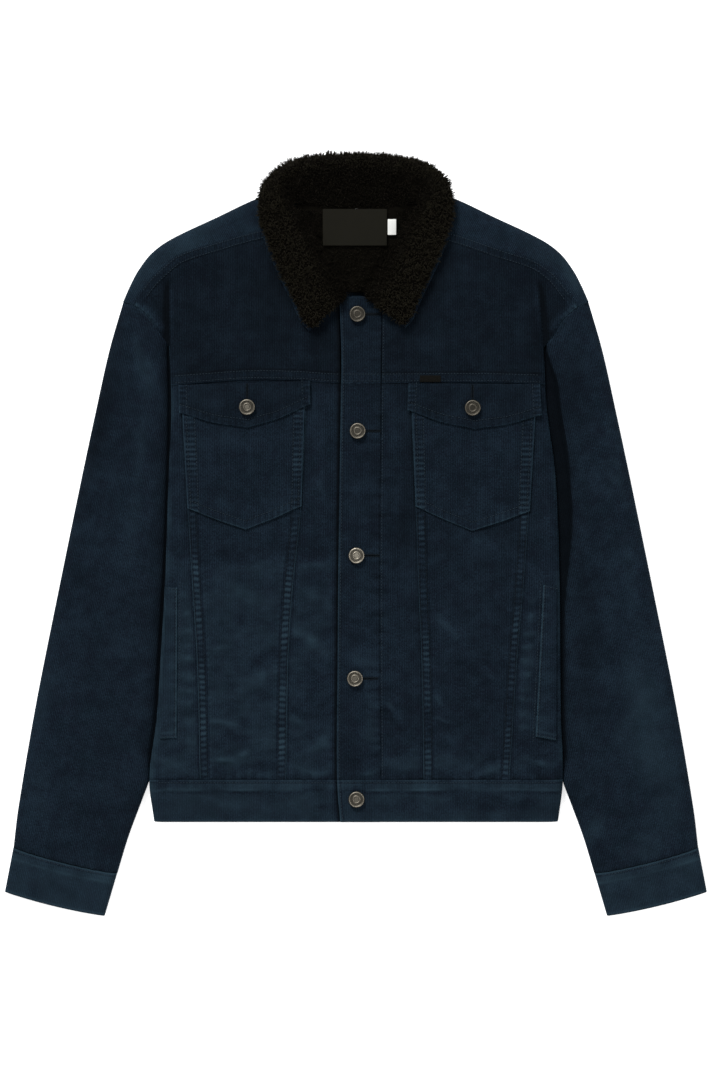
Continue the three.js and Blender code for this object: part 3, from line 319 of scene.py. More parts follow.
class JacketColours(PropertyGroup):
    """Colours of the cloth, the pile and the trimmings."""

    corduroy: colour("Corduroy", "Colour of the corduroy's ribs", 0.0056, 0.0098, 0.0166)
    groove: colour("Groove", "Colour between the ribs", 0.0022, 0.0041, 0.0068)
    # This colour is paler wear and also painted highlight: crests, folds and turned edges are mixed towards
    # it.
    wear_and_painted_light: colour("Worn", "Colour where seams and edges are rubbed", 0.0270, 0.0540, 0.0740)
    pile: colour("Pile", "Colour at the tips of the pile", 0.0150, 0.0134, 0.0086)
    pile_root: colour("Pile root", "Colour deep in the pile", 0.0026, 0.0022, 0.0014)
    metal: colour("Metal", "Colour of the buttons", 0.42, 0.385, 0.315)
    satin: colour("Satin", "Colour of the neck label and the tab", 0.0072, 0.0066, 0.0040)
    tape: colour("Tape", "Colour of the small white label", 0.80, 0.80, 0.77)
    thread: colour("Thread", "Colour of the sewing thread", 0.0180, 0.0290, 0.0390)
    floor: colour("Floor", "Colour of the floor", 0.92, 0.92, 0.92)


def sizes():
    return bpy.context.scene.jacket_sizes


def colours():
    return bpy.context.scene.jacket_colours


# Curves and shapes in the plane

def mix(a, b, t):
    return a + (b - a) * t


def ease(t):
    t = np.clip(t, 0, 1)
    return t * t * (3 - 2 * t)


def through(rows, key, column):
    """Smooth curve through one column of a table, as a function of its key column."""
    rows = sorted(rows, key=lambda row: row[key])
    xs, ys = (np.array([row[name] for row in rows], float) for name in (key, column))
    before = np.maximum(np.arange(len(xs)) - 1, 0)
    after = np.minimum(np.arange(len(xs)) + 1, len(xs) - 1)
    slope = (ys[after] - ys[before]) / (xs[after] - xs[before])

    def curve(at):
        at = np.asarray(at, float)
        i = np.clip(np.searchsorted(xs, at, side="right") - 1, 0, len(xs) - 2)
        step = xs[i + 1] - xs[i]
        t = (at - xs[i]) / step
        inside = (ys[i] * (1 - t) ** 2 * (1 + 2 * t) + ys[i + 1] * t ** 2 * (3 - 2 * t)
                  + t * (1 - t) * step * (slope[i] * (1 - t) - slope[i + 1] * t))
        low = ys[i] + slope[i] * step * t
        high = ys[i + 1] + slope[i + 1] * step * (t - 1)
        return np.where(t < 0, low, np.where(t > 1, high, inside))

    return curve


def both(rows, key):
    return {name: through(rows, key, name) for name, _ in SIDES}


side_fold = both(SIDE_FOLD, "y")
armhole = both(ARMHOLE, "y")
shoulder_seam = both(SHOULDER_SEAM, "out")
neck_edge = both(NECK_EDGE, "y")
inner_seam = both(INNER_SEAM, "y")
outer_seam = both(OUTER_SEAM, "y")
shoulder_edge = through(SHOULDER_EDGE, "out", "y")
yoke_seam = through(YOKE_SEAM, "x", "y")
placket_free = through(PLACKET, "y", "free")
placket_seam = through(PLACKET, "y", "seam")
sleeve_outer = through(SLEEVE_OUTER, "y", "out")
sleeve_inner_free = through(SLEEVE_INNER, "y", "out")


def by_side(curves, x, y):
    """A pair of side curves at y, the left one where x is on the left."""
    return np.where(x < 0, curves["left"](y), curves["right"](y))


def patch(bottom, top, start, end, across, up):
    """Grid of points between four edges, each a function of 0 to 1 that gives x and y."""
    u, v = np.meshgrid(across, up)
    grid = []
    for axis in (0, 1):
        edges = mix(bottom(u)[axis], top(u)[axis], v) + mix(start(v)[axis], end(v)[axis], u)
        low = mix(bottom(0.0)[axis], bottom(1.0)[axis], u)
        high = mix(top(0.0)[axis], top(1.0)[axis], u)
        grid.append(edges - mix(low, high, v))
    return np.stack(grid, axis=-1)


def seam_up(out, sign, y0, y1):
    return lambda t: (sign * out(mix(y0, y1, t)), mix(y0, y1, t))


def seam_across(height, x0, x1):
    return lambda t: (mix(x0, x1, t), height(mix(x0, x1, t)))


def line(a, b):
    return lambda t: (mix(a[0], b[0], t), mix(a[1], b[1], t))


def panel_grid(inner, outer, sign, low, high, across, up):
    """Grid between two seams that run up. Low and high are the seams across, as functions of x, and where
    each meets the inner and the outer seam."""
    edges = [seam_across(height, sign * inner(at[0]), sign * outer(at[1])) for height, at in (low, high)]
    sides = [seam_up(seam, sign, low[1][side], high[1][side]) for side, seam in enumerate((inner, outer))]
    return patch(*edges, *sides, across, up)


def level(height):
    """A seam across at one height."""
    return lambda x: height + 0 * x


def spaced(length, step, rim=(0.3, 0.8, 1.5), border=0.0):
    """Fractions of a length, even inside and close at both rims, or over a border of a given width."""
    rim = list(rim)
    while rim[-1] < border:
        rim.append(rim[-1] + 0.95)
    near_rim = [distance / length for distance in rim]
    count = max(2, int(round((1 - 2 * near_rim[-1]) * length / step)))
    inside = np.linspace(near_rim[-1], 1 - near_rim[-1], count + 1)
    return np.concatenate([[0], near_rim[:-1], inside, [1 - n for n in near_rim[-2::-1]], [1]])


def walk(grid, axis):
    """Distance walked along one axis of a grid of points to each of them."""
    steps = np.linalg.norm(np.diff(grid, axis=axis), axis=-1)
    zero = np.zeros_like(np.take(steps, [0], axis=axis))
    return np.concatenate([zero, np.cumsum(steps, axis=axis)], axis=axis)


def rim_distance(grid):
    """Distance of each grid point from the grid's left, right, lower and upper rims."""
    across, up = walk(grid, 1), walk(grid, 0)
    return across, across[:, -1:] - across, up, up[-1:] - up


def drawn_in(grid, gap=SEAM_GAP / 2):
    """The grid with its rim pulled in by half a seam's gap."""
    grid = grid.copy()
    for index, beside in ((0, 1), (-1, -2)):
        for view in (grid, grid.swapaxes(0, 1)):
            towards = view[beside] - view[index]
            length = np.linalg.norm(towards, axis=-1, keepdims=True)
            view[index] += towards / np.maximum(length, 1e-6) * gap
    return grid


def xy(grid):
    return grid[..., 0], grid[..., 1]


def raised(x, y, height):
    """Points over the plane, at one height or at each point's own."""
    return np.stack([x, y, np.broadcast_to(height, x.shape)], axis=-1)


# Heights and shades. A shade is 0 on plain cloth, more where it is painted paler for wear and as painted
# highlight, and less where it is painted shade.

def rounded(distance, reach):
    """Rise of a folded edge: 0 at the edge, 1 past the round."""
    return np.sqrt(1 - (1 - np.clip(distance / reach, 0, 1)) ** 2)


def past(distance):
    return np.maximum(distance, 0)


def near(distance, at, wide):
    """1 at a distance from a seam, softly falling to 0 on both sides of it."""
    return np.exp(-((distance - at) / wide) ** 2)


def fading(distance, reach):
    """1 at a seam, falling away from it."""
    return np.exp(-distance / reach)


def band(distance, low, high, soft=0.9):
    """1 between two distances, softly falling to 0 outside them."""
    return ease((distance - low) / soft + 0.5) * ease((high - distance) / soft + 0.5)


def folds(rows, x, y):
    """Soft ridges and troughs that fade at both ends."""
    total = np.zeros(np.broadcast(x, y).shape)
    for at_x, at_y, degrees, long, wide, high in rows:
        turn = math.radians(degrees)
        dx, dy = x - at_x, y - at_y
        along = dx * math.cos(turn) + dy * math.sin(turn)
        across = dy * math.cos(turn) - dx * math.sin(turn)
        total += high * np.exp(-(along / long) ** 2 - (across / wide) ** 2)
    return total


def lumps(x, y, size, seed):
    """Even unevenness, from -1 to 1, with lumps of about that size."""
    total = 0
    for i in range(5):
        turn = seed * 1.7 + i * 2.4
        swing = (x * math.cos(turn) + y * math.sin(turn)) / size * (0.8 + 0.23 * i)
        bend = (y * math.cos(turn) - x * math.sin(turn)) / size * 0.6
        total = total + np.sin(2.6 * swing + 1.3 * np.sin(1.7 * bend + seed + i) + i * seed)
    return total / 5


def wavered(rows, x, y):
    """Folds whose lines waver and break up as pressed cloth does."""
    bent_x = x + 3.4 * lumps(x, y, 20, 2.9)
    bent_y = y + 3.4 * lumps(x, y, 20, 6.1)
    return folds(rows, bent_x, bent_y) * (0.8 + 0.5 * lumps(x, y, 9, 1.9))


def roping(s, pitch, seed, peak=1.4):
    """Uneven puckers along a seam, from 0 in a dip to 1 on a crest. A low peak gives broad crests."""
    wander = 1.0 * np.sin(s / 37 + seed) + 0.7 * np.sin(s / 17.3 + 2.1 * seed)
    wander = wander + 0.45 * np.sin(s / 7.9 + 3.7 * seed)
    strength = 0.68 + 0.32 * np.sin(s / 13 + 5 * seed) * np.cos(s / 31 + seed)
    return (0.5 + 0.5 * np.sin(2 * np.pi * s / pitch + wander)) ** peak * strength


def roped(s, ropes, seed, peak=1.4):
    """Roping whose puckers are a number of the roping's pitch long."""
    return roping(s, sizes().rope_pitch / MM * ropes, seed, peak)


def front_base(x, y):
    """Height of the fronts' outer face without any sewing, as the solids have it."""
    from_fold = by_side(side_fold, x, y) - np.abs(x)
    upper = np.clip((y - ARMPIT_Y) / (FOLD_START_Y - ARMPIT_Y), 0, 1)
    below = y < ARMPIT_Y
    low = np.where(below, FOLD_EDGE, mix(FOLD_EDGE + 1, BODY_TOP, ease(upper)))
    reach = np.where(below, FOLD_ROUND, mix(FOLD_ROUND, FOLD_ROUND / 2, ease(upper * 3)))
    return mix(low, BODY_TOP + folds(FRONT_FOLDS, x, y), rounded(from_fold, reach))


# Felled strips of the lower front: the seam each follows, which way the strip lies and its width
STRIPS = (
    dict(seam=inner_seam, way=1, wide=10.4, seed=1.3),
    dict(seam=outer_seam, way=-1, wide=9.6, seed=4.1),
)
STRIP_RISE = 0.8
YOKE_STRIP = 11.0
SHOULDER_STRIP = 9.4


def strip_distance(strip, x, y):
    return strip["way"] * (np.abs(x) - by_side(strip["seam"], x, y))


def pocket_puckers(x, y):
    """Puckers of the side fronts between the outer strips and the hand pockets."""
    total = 0.0
    for name, sign in SIDES:
        rows = [(sign * (float(outer_seam[name](at_y)) + 9), at_y, sign * 6 * math.sin(at_y), *size)
                for at_y, *size in POCKET_PUCKERS[name]]
        total = total + folds(rows, x, y)
    uneven = 0.75 + 0.6 * lumps(x, y, 6, 3.3)
    return total * uneven * ease((-1.2 - strip_distance(STRIPS[1], x, y)) / 2)


def placket_puckers(x, y):
    """Short troughs on both sides of the placket's sewn edge."""
    rows = [(float(placket_seam(at_y)) - 1 + 3 * math.sin(at_y), at_y, *size)
            for at_y, *size in PLACKET_PUCKERS]
    return folds(rows, x, y)


def beside_placket(x, y, ropes, seed):
    """Cloth beside the placket: how close it is, its puckers, and the placket's shadow on it."""
    from_edge, from_seam = placket_free(y) - x, x - placket_seam(y)
    close = fading(np.abs(np.where(x < 0, from_edge, from_seam)), 8)
    shadow = 1.25 * near(past(from_edge), 0, 3.4) * (x < 0) + 0.35 * near(past(from_seam), 0, 1.2) * (x > 0)
    return close, roped(y, ropes, seed), shadow


def sewn_lower(x, y):
    """Raised sewing of the lower front, and its shade, which is painted highlight and painted shade."""
    high = sizes().rope_height / MM
    relief, shade = np.zeros(x.shape), np.zeros(x.shape)
    for strip in STRIPS:
        d, wide = strip_distance(strip, x, y), strip["wide"]
        seed = strip["seed"] + np.where(x < 0, 0.0, 2.2)
        ridge = roped(y + 0.6 * np.sin(y / 19 + seed) * (d - 5) / 5, 1, seed, 0.65)
        inside = band(d, 1.7, wide - 1.4, 1.5)
        # The stitch rows are sunk into the strip and painted dark as painted shade.
        sunk = 0.28 * (near(d, 1.6, 0.9) + near(d, wide - 1.1, 0.9))
        relief += ease(d / 0.3) * ease((wide - d) / 1.1 + 0.5) * STRIP_RISE
        relief += inside * high * (ridge - 0.5) - sunk
        # Painted highlights on the puckers' crests and on the strip's turned edge.
        shade += inside * (1.10 * ridge - 0.34) + 0.75 * near(d, 0.35, 0.55) - sunk
        # Painted shadow on the cloth just beside the strip's edge.
        shade -= 0.55 * fading(past(-d), 1.3) * (d < 0)
        beyond = d - wide
        dimple = roped(y, 1.1, seed + 9) * near(beyond, 2.6, 2.4)
        relief += 0.30 * dimple + 0.42 * fading(np.abs(beyond), 8) * (roped(y, 2.4, seed + 4) - 0.5)
        shade += 0.22 * dimple - 0.25 * near(beyond, 0.6, 0.9)
    by_pocket, by_placket = pocket_puckers(x, y), placket_puckers(x, y) * (x > 0)
    close, ridge, shadow = beside_placket(x, y, 2.3, 6.7)
    waist = fading(np.abs(y - WAIST_Y), 7) * (roped(x, 1.9, 3.3) - 0.5)
    relief += by_pocket + by_placket + 0.6 * close * (ridge - 0.5) + waist
    shade += 0.34 * by_pocket + 0.35 * by_placket + 0.20 * close * (ridge - 0.4) + 0.35 * waist - shadow
    # Painted shadow above the waistband and under the chest seam's strip.
    shade -= 0.5 * fading(y - WAIST_Y, 1.4) + 0.55 * fading(past(yoke_seam(x) - y), 1.6)
    return relief, shade


def sewn_yoke(x, y):
    """Raised sewing of the front yokes: the strip over the chest seam and under the shoulder seam."""
    d = y - yoke_seam(x)
    ridge = roped(x + 0.2 * d, 1.15, 7.7)
    inside = band(d, 1.6, YOKE_STRIP - 1.0, 1.4)
    relief = ease((YOKE_STRIP - d) / 1.4 + 0.5) * STRIP_RISE + inside * 0.30 * (ridge - 0.5)
    # Painted highlight on the strip's turned edge, painted shade past it and in its stitch rows.
    shade = inside * (0.20 * ridge + 0.10) + 0.7 * near(d, 0.4, 0.7) - 0.35 * near(d, YOKE_STRIP + 0.7, 1.0)
    shade -= 0.22 * (near(d, 2.6, 0.8) + near(d, YOKE_STRIP - 1.3, 0.8))
    seam = by_side(shoulder_seam, x, np.abs(x))
    tilt = by_side(shoulder_seam, x, np.abs(x) + 1) - seam
    slant = np.sqrt(1 + tilt ** 2)
    under = (seam - y) / slant
    ridge = roped(np.abs(x) * slant, 1, 2.4)
    inside = band(under, 1.6, SHOULDER_STRIP - 1.0, 1.4)
    relief += ease((SHOULDER_STRIP - under) / 1.4 + 0.5) * STRIP_RISE * (under > -3)
    close, pucker, shadow = beside_placket(x, y, 2.2, 1.9)
    relief += inside * 0.40 * (ridge - 0.5) + 0.6 * close * (pucker - 0.5)
    # Painted highlights on the shoulder strip's crests and edge, and the placket's painted shadow.
    shade += inside * 0.45 * ridge + 0.55 * near(under, 0.4, 0.7) - shadow
    return relief, shade


def fold_shade(x, y):
    """The body's folded sides are painted paler along the fold, for wear and as a painted highlight."""
    from_fold = by_side(side_fold, x, y) - np.abs(x)
    along = 0.7 + 0.5 * np.sin(y / 31 + np.where(x < 0, 1.0, 3.0)) * np.sin(y / 13)
    return 0.42 * along * near(from_fold, 0, 5.0) * ease((ARMPIT_Y + 6 - y) / 20)


def shoulder_fold_shade(x, y):
    """Above the armpit the body's fold runs on over the yoke: painted shadow beside it, a painted highlight
    along it.
    """
    beyond = np.abs(x) - by_side(side_fold, x, np.minimum(y, 275))
    on = ease((y - ARMPIT_Y + 8) / 16) * ease((280 - y) / 26)
    beside = -1.5 * near(past(beyond), 0, 5.0) * ease(beyond / 2 + 0.5)
    return on * (beside + 0.35 * near(beyond, -2.5, 2.4))


def lower_face(x, y):
    """Outer face of the lower fronts, and its shade."""
    relief, shade = sewn_lower(x, y)
    creased = 1.2 * wavered(FRONT_CREASES, x, y)
    creased += 0.4 * lumps(x * 1.1, y * 1.9, 13, 4.7) * ease((40 - y) / 160)
    relief += creased + 0.40 * lumps(x, y * 1.5, 30, 3.1) + 0.16 * lumps(x, y * 1.4, 10, 1.2)
    low = ease((30 - y) / 110)
    # The creases are painted paler on their ridges and darker in their troughs, as painted light and shade.
    shade += 0.16 * np.clip(-x / 60, -1.2, 0.7 * low) - 0.14 * (1 - low) + fold_shade(x, y) + 0.22 * creased
    shade += 0.10 * lumps(x, y * 1.6, 24, 8.8) + folds(FRONT_NAP_AND_SHADE, x, y)
    return front_base(x, y) + relief, shade


def yoke_face(x, y):
    """Outer face of the front yokes, and its shade."""
    relief, shade = sewn_yoke(x, y)
    hole = by_side(armhole, x, y) - np.abs(x)
    above = y > ARMPIT_Y
    pucker = fading(past(hole), 8) * above * (roping(y + np.abs(x), 8.0, 3.1) - 0.45)
    rolled = near(hole, 5, 6) * ease((y - ARMPIT_Y - 10) / 14)
    # Painted darker all over, with painted highlights on the armhole's puckers, edge and rolled seam.
    shade += fold_shade(x, y) + 0.10 * lumps(x, y, 30, 5.8) + shoulder_fold_shade(x, y) - 0.50
    shade += 0.45 * pucker + 0.5 * near(hole, 1.0, 1.0) * above + 0.75 * rolled + folds(FRONT_NAP_AND_SHADE, x, y)
    relief += 1.1 * rolled + 0.7 * pucker + folds(YOKE_CREASES, x, y)
    relief += 0.3 * lumps(x, y, 34, 2.3) + 0.08 * lumps(x, y, 9, 4.2)
    return front_base(x, y) + relief, shade


# Meshes

def new_piece(name, points, faces, finish, replaced=()):
    """Mesh object from points in millimetres, riding on the root and standing for its nodes."""
    mesh = bpy.data.meshes.new(name)
    mesh.from_pydata((np.asarray(points) * MM).tolist(), [], faces)
    mesh.update()
    piece = bpy.data.objects.new(name, mesh)
    bpy.context.scene.collection.objects.link(piece)
    mesh.materials.append(material(finish))
    mesh.polygons.foreach_set("use_smooth", [True] * len(mesh.polygons))
    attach(piece, "root")
    if replaced:
        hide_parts(*replaced)
    return piece


def quads(rows, columns, start=0, wrap=False):
    """Faces of a grid of points, row after row."""
    r, c = np.meshgrid(np.arange(rows - 1), np.arange(columns if wrap else columns - 1), indexing="ij")
    a = start + r * columns + c
    b = start + r * columns + (c + 1) % columns
    return np.stack([a, b, b + columns, a + columns], axis=-1).reshape(-1, 4)


def capped_tube(rows, columns):
    """Faces of a tube of points, closed at both ends."""
    last = (rows - 1) * columns
    caps = [list(range(columns))[::-1], list(range(last, last + columns))]
    return quads(rows, columns, wrap=True).tolist() + caps


def set_grain(piece, grain):
    """UV layer in metres: u across the wales and v along them."""
    mesh = piece.data
    corners = np.empty(len(mesh.loops), int)
    mesh.loops.foreach_get("vertex_index", corners)
    layer = mesh.uv_layers.new(name="grain")
    layer.data.foreach_set("uv", (np.asarray(grain) * MM)[corners].ravel())


def set_values(piece, name, values):
    """Float attribute of a piece's points, for its material."""
    attribute = piece.data.attributes.new(name, "FLOAT", "POINT")
    attribute.data.foreach_set("value", np.asarray(values, float).ravel())


# Above 0 the attribute paints cloth paler, for wear and as painted highlight; below 0 it is painted shade.
def set_wear_and_painted_light(piece, shade):
    set_values(piece, "wear_and_painted_light", np.clip(shade, -1.0, 1.4))


def fix_facing(piece):
    """Turns a closed piece's faces outward."""
    work = bmesh.new()
    work.from_mesh(piece.data)
    bmesh.ops.recalc_face_normals(work, faces=work.faces)
    work.to_mesh(piece.data)
    work.free()


def every(count, stride):
    return [*range(0, count - 1, stride), count - 1]


def closed_wall(node, outer, inner, shade, turn=0.0, replaced=True, stride=6, upward=None):
    """Cloth as a closed wall: a fine outer face, a coarser inner face and a rim between them."""
    rows, columns = outer.shape[:2]
    kept = np.ix_(every(rows, stride), every(columns, stride))
    back = inner[kept]
    number = np.arange(rows * columns).reshape(rows, columns)
    behind = number.size + np.arange(back[..., 0].size).reshape(back.shape[:2])
    faces = quads(rows, columns).tolist() + quads(*behind.shape, number.size)[:, ::-1].tolist()
    for side in range(4):
        fine, coarse, joins = (np.rot90(rim, side)[0] for rim in (number, behind, number[kept]))
        at = np.flatnonzero(np.isin(fine, joins))
        for i in range(len(at) - 1):
            faces.append(fine[at[i]:at[i + 1] + 1][::-1].tolist() + coarse[i:i + 2].tolist())
    upward = outer[0, -1, 0] > outer[0, 0, 0] if upward is None else upward
    if not upward:
        faces = [face[::-1] for face in faces]
    points = np.concatenate([outer.reshape(-1, 3), back.reshape(-1, 3)])
    piece = new_piece(f"{node}_cloth", points, faces, "navy_corduroy", [node] if replaced else ())
    grain = grain_of(outer, turn)
    set_grain(piece, np.concatenate([grain.reshape(-1, 2), grain[kept].reshape(-1, 2)]))
    set_wear_and_painted_light(piece, np.concatenate([shade.ravel(), np.zeros(behind.size)]))
    return piece


def grain_of(grid, turn=0.0):
    """Grain coordinates of points in the plane, with the wales turned by an angle."""
    c, s = math.cos(turn), math.sin(turn)
    x, y = xy(grid)
    return np.stack([x * c + y * s, y * c - x * s], axis=-1)


def rim_soft(grid, radius=0.8, sides="lrbt"):
    """How far a face drops at its cut rims, rounded, and how much the rims are painted paler, for wear and as
    a painted highlight.
    """
    distances = [distance for name, distance in zip("lrbt", rim_distance(grid)) if name in sides]
    drop = sum(radius * (1 - rounded(distance, radius)) for distance in distances)
    return drop, sum(near(distance, 0.6, 0.8) for distance in distances)


def declare_cloth(grid):
    """Works out a grid's cut along the cloth, its width, length and area, and keeps none of them."""
    width, length = (walk(grid, axis).max() * MM for axis in (1, 0))
    a = grid[1:, 1:] - grid[:-1, :-1]
    b = grid[1:, :-1] - grid[:-1, 1:]
    area = 0.5 * np.abs(a[..., 0] * b[..., 1] - a[..., 1] * b[..., 0]).sum() * MM * MM
    flat = (float(width), float(length))
    area = float(min(area, flat[0] * flat[1]))


# Shader values

class Value:
    """A socket of a node tree, with the operators that build shader maths from it."""

    def __init__(self, tree, socket):
        self.tree = tree
        self.socket = socket

    def node(self, kind, settings=None, inputs=None, output=0):
        """A new node: its settings first, then the values or links of its sockets."""
        made = self.tree.nodes.new(kind)
        for name, value in (settings or {}).items():
            setattr(made, name, value)
        plug(self.tree, made.inputs, inputs or {})
        return Value(self.tree, made.outputs[output])

    def math(self, operation, *values):
        return self.node("ShaderNodeMath", {"operation": operation}, dict(enumerate(values)))

    def __add__(self, other):
        return self.math("ADD", self, other)

    __radd__ = __add__

    def __sub__(self, other):
        return self.math("SUBTRACT", self, other)

    def __rsub__(self, other):
        return self.math("SUBTRACT", other, self)

    def __mul__(self, other):
        return self.math("MULTIPLY", self, other)

    __rmul__ = __mul__

    def sine(self):
        return self.math("SINE", self)

    def clamped(self):
        return self.node("ShaderNodeClamp", None, {"Value": self})

    def scaled(self, *factors):
        """The vector times three factors."""
        return self.node("ShaderNodeVectorMath", {"operation": "MULTIPLY"}, {0: self, 1: factors})

    def part(self, axis):
        return self.node("ShaderNodeSeparateXYZ", None, {0: self}, output="XYZ".index(axis))

    def noise(self, scale, detail=3.0, roughness=0.5):
        inputs = {"Vector": self, "Scale": scale, "Detail": detail, "Roughness": roughness}
        return self.node("ShaderNodeTexNoise", None, inputs)

    def between(self, low, high):
        """Colour that goes from low to high as this value goes from 0 to 1."""
        low, high = (c if isinstance(c, Value) else (*c, 1.0) for c in (low, high))
        return self.node("ShaderNodeMix", {"data_type": "RGBA"}, {0: self, 6: low, 7: high}, output=2)

    def bump(self, distance, strength=1.0):
        return self.node("ShaderNodeBump", None, {"Height": self, "Distance": distance, "Strength": strength})


def plug(tree, sockets, inputs):
    """Gives each named socket its value or its link."""
    for name, value in inputs.items():
        if isinstance(value, Value):
            tree.links.new(value.socket, sockets[name])
        else:
            sockets[name].default_value = value


def dyed(base, *by):
    """A colour times one factor, or three."""
    return tuple(c * f for c, f in zip(base, by if len(by) > 1 else by * 3))


def attribute_of(start, name):
    return start.node("ShaderNodeAttribute", {"attribute_name": name}, output=2)


def grain_place(start):
    return start.node("ShaderNodeUVMap", {"uv_map": "grain"})


def object_place(start):
    return start.node("ShaderNodeTexCoord", output=3)


def corduroy_look(start):
    """Fine ribs along the grain, a soft uneven nap, seams and edges paler with wear and painted highlights,
    and painted shade.
    """
    cord = colours().corduroy
    grain, place = grain_place(start), object_place(start)
    wobble = grain.scaled(60.0, 60.0, 1.0).noise(1.0, 2.0) - 0.5
    rib = (grain.part("X") * (2 * math.pi / sizes().wale) + wobble * 1.6).sine() * 0.5 + 0.5
    fuzz = grain.scaled(2600.0, 900.0, 1.0).noise(1.0, 2.0)
    nap = place.noise(24.0, 4.0, 0.6)
    sweep = place.scaled(9.0, 26.0, 9.0).noise(1.0, 3.0)
    streak = grain.scaled(420.0, 9.0, 1.0).noise(1.0, 2.0)
    speck = grain.scaled(900.0, 480.0, 1.0).noise(1.0, 2.0, 0.7) - 0.5
    mottle = place.noise(75.0, 4.0, 0.6)
    ribbed = (rib * 0.86 + fuzz * 0.5 - 0.15).clamped()
    tint = ((place.noise(60.0, 4.0, 0.7) - 0.5) * 2.0 + 0.5).clamped()
    violet, teal = dyed(cord, 1.22, 0.93, 1.04), dyed(cord, 0.84, 1.10, 1.0)
    body = ribbed.between(colours().groove, tint.between(violet, teal))
    cloudy = ((nap - 0.5) * 1.3 + (sweep - 0.5) * 1.1 + (mottle - 0.5) * 2.2
              + (streak - 0.5) * 0.6 + 0.5).clamped()
    paler = dyed(cord, 1.9, 2.15, 2.05)
    napped = ((cloudy * 0.66 + speck * 3.4) * (0.35 + ribbed * 0.9)).clamped().between(body, paler)
    # Above 0 the attribute mixes towards the paler colour, for wear and as painted highlight.
    wear_and_painted_light = attribute_of(start, "wear_and_painted_light")
    rubbed_and_highlight = (wear_and_painted_light * (0.5 + 0.6 * fuzz)).clamped()
    painted_shade = (wear_and_painted_light * -1.0).clamped()
    # Painted shade: below 0 the cloth is mixed towards this near black.
    shaded = (painted_shade * 0.88).between(napped, (0.0008, 0.0014, 0.0022))
    return {"Base Color": (rubbed_and_highlight * 0.85).between(shaded, colours().wear_and_painted_light), "Roughness": 0.95 - 0.1 * cloudy,
            "Normal": (rib * 0.8 + fuzz * 0.3).bump(0.0005, 0.6), "Specular IOR Level": 0.04,
            "Sheen Weight": 0.16, "Sheen Roughness": 0.28, "Sheen Tint": (0.25, 0.55, 0.80, 1.0)}


def pile_look(start):
    """Near black curly pile, browner and paler at the tips, with the curls' painted light and shade from
    their attribute.
    """
    place = object_place(start)
    clumps, drift = place.noise(130.0, 3.0, 0.6), place.noise(22.0, 2.0)
    light = attribute_of(start, "tip_and_painted_light") * (clumps * 2.6 - 0.5).clamped() + (drift - 0.5) * 0.15
    return {"Base Color": light.clamped().between(colours().pile_root, colours().pile), "Roughness": 0.85,
            "Normal": place.noise(900.0, 2.0).bump(0.0004, 0.5), "Specular IOR Level": 0.03,
            "Sheen Weight": 0.04, "Sheen Roughness": 0.4, "Sheen Tint": (0.75, 0.65, 0.5, 1.0)}


def metal_look(start):
    """Antique plated metal: dark in the hollows, polished bright on the ridges."""
    tarnish = object_place(start).noise(1400.0, 3.0, 0.6)
    bright = (attribute_of(start, "raised") * 0.58 + (tarnish - 0.5) * 0.22).clamped()
    return {"Base Color": bright.between(dyed(colours().metal, 0.07), colours().metal), "Metallic": 1.0,
            "Roughness": 0.56 - 0.14 * bright, "Normal": tarnish.bump(0.0001, 0.10)}


def woven_look(start, base, pitch, dullness):
    """Close woven label cloth with a fine rib both ways."""
    grain = grain_place(start)
    warp = (grain.part("X") * (2 * math.pi / pitch)).sine()
    weft = (grain.part("Y") * (2 * math.pi / (pitch * 1.6))).sine()
    weave = warp * weft * 0.5 + 0.5
    light = (weave * 0.5 + object_place(start).noise(60.0, 3.0) * 0.5).clamped()
    return {"Base Color": light.between(dyed(base, 0.72), dyed(base, 1.15)), "Roughness": dullness,
            "Normal": weave.bump(0.0002, 0.4), "Specular IOR Level": 0.07}


def thread_look(start, strength):
    """Tonal sewing thread with a twist."""
    twist = object_place(start).noise(1500.0, 2.0)
    low, high = (dyed(colours().thread, strength * tone) for tone in (0.7, 1.4))
    return {"Base Color": twist.between(low, high), "Roughness": 0.8, "Normal": twist.bump(0.0001, 0.4),
            "Specular IOR Level": 0.1}


def floor_look(start):
    """Plain pale floor with a trace of unevenness, lit a little from within as a light table is."""
    base = colours().floor
    cloud = object_place(start).noise(1.5, 2.0)
    return {"Base Color": cloud.between(dyed(base, 0.99), base), "Roughness": 0.9,
            "Emission Color": (1.0, 1.0, 1.0, 1.0), "Emission Strength": 0.6}


LOOKS = {
    "navy_corduroy": corduroy_look,
    "curly_pile": pile_look,
    "antique_metal": metal_look,
    "black_satin": lambda start: woven_look(start, colours().satin, 0.0006, 0.5),
    "black_ribbon": lambda start: woven_look(start, dyed(colours().satin, 0.3), 0.0004, 0.6),
    "white_tape": lambda start: woven_look(start, colours().tape, 0.0005, 0.8),
    "navy_thread": lambda start: thread_look(start, 1.0),
    "dark_thread": lambda start: thread_look(start, 0.28),
    "pale_floor": floor_look,
}


def material(name):
    """A material by name, made the first time it is asked for."""
    made = bpy.data.materials.get(name)
    if made is None:
        made = bpy.data.materials.new(name)
        made.use_nodes = True
        tree = made.node_tree
        plug(tree, tree.nodes["Principled BSDF"].inputs, LOOKS[name](Value(tree, None)))
    return made


# Cutting the pieces

def meet_yoke(out, sign):
    """Height where a seam that runs up meets the chest seam."""
    y = 165.0
    for _ in range(6):
        y = float(yoke_seam(sign * out(y)))
    return y


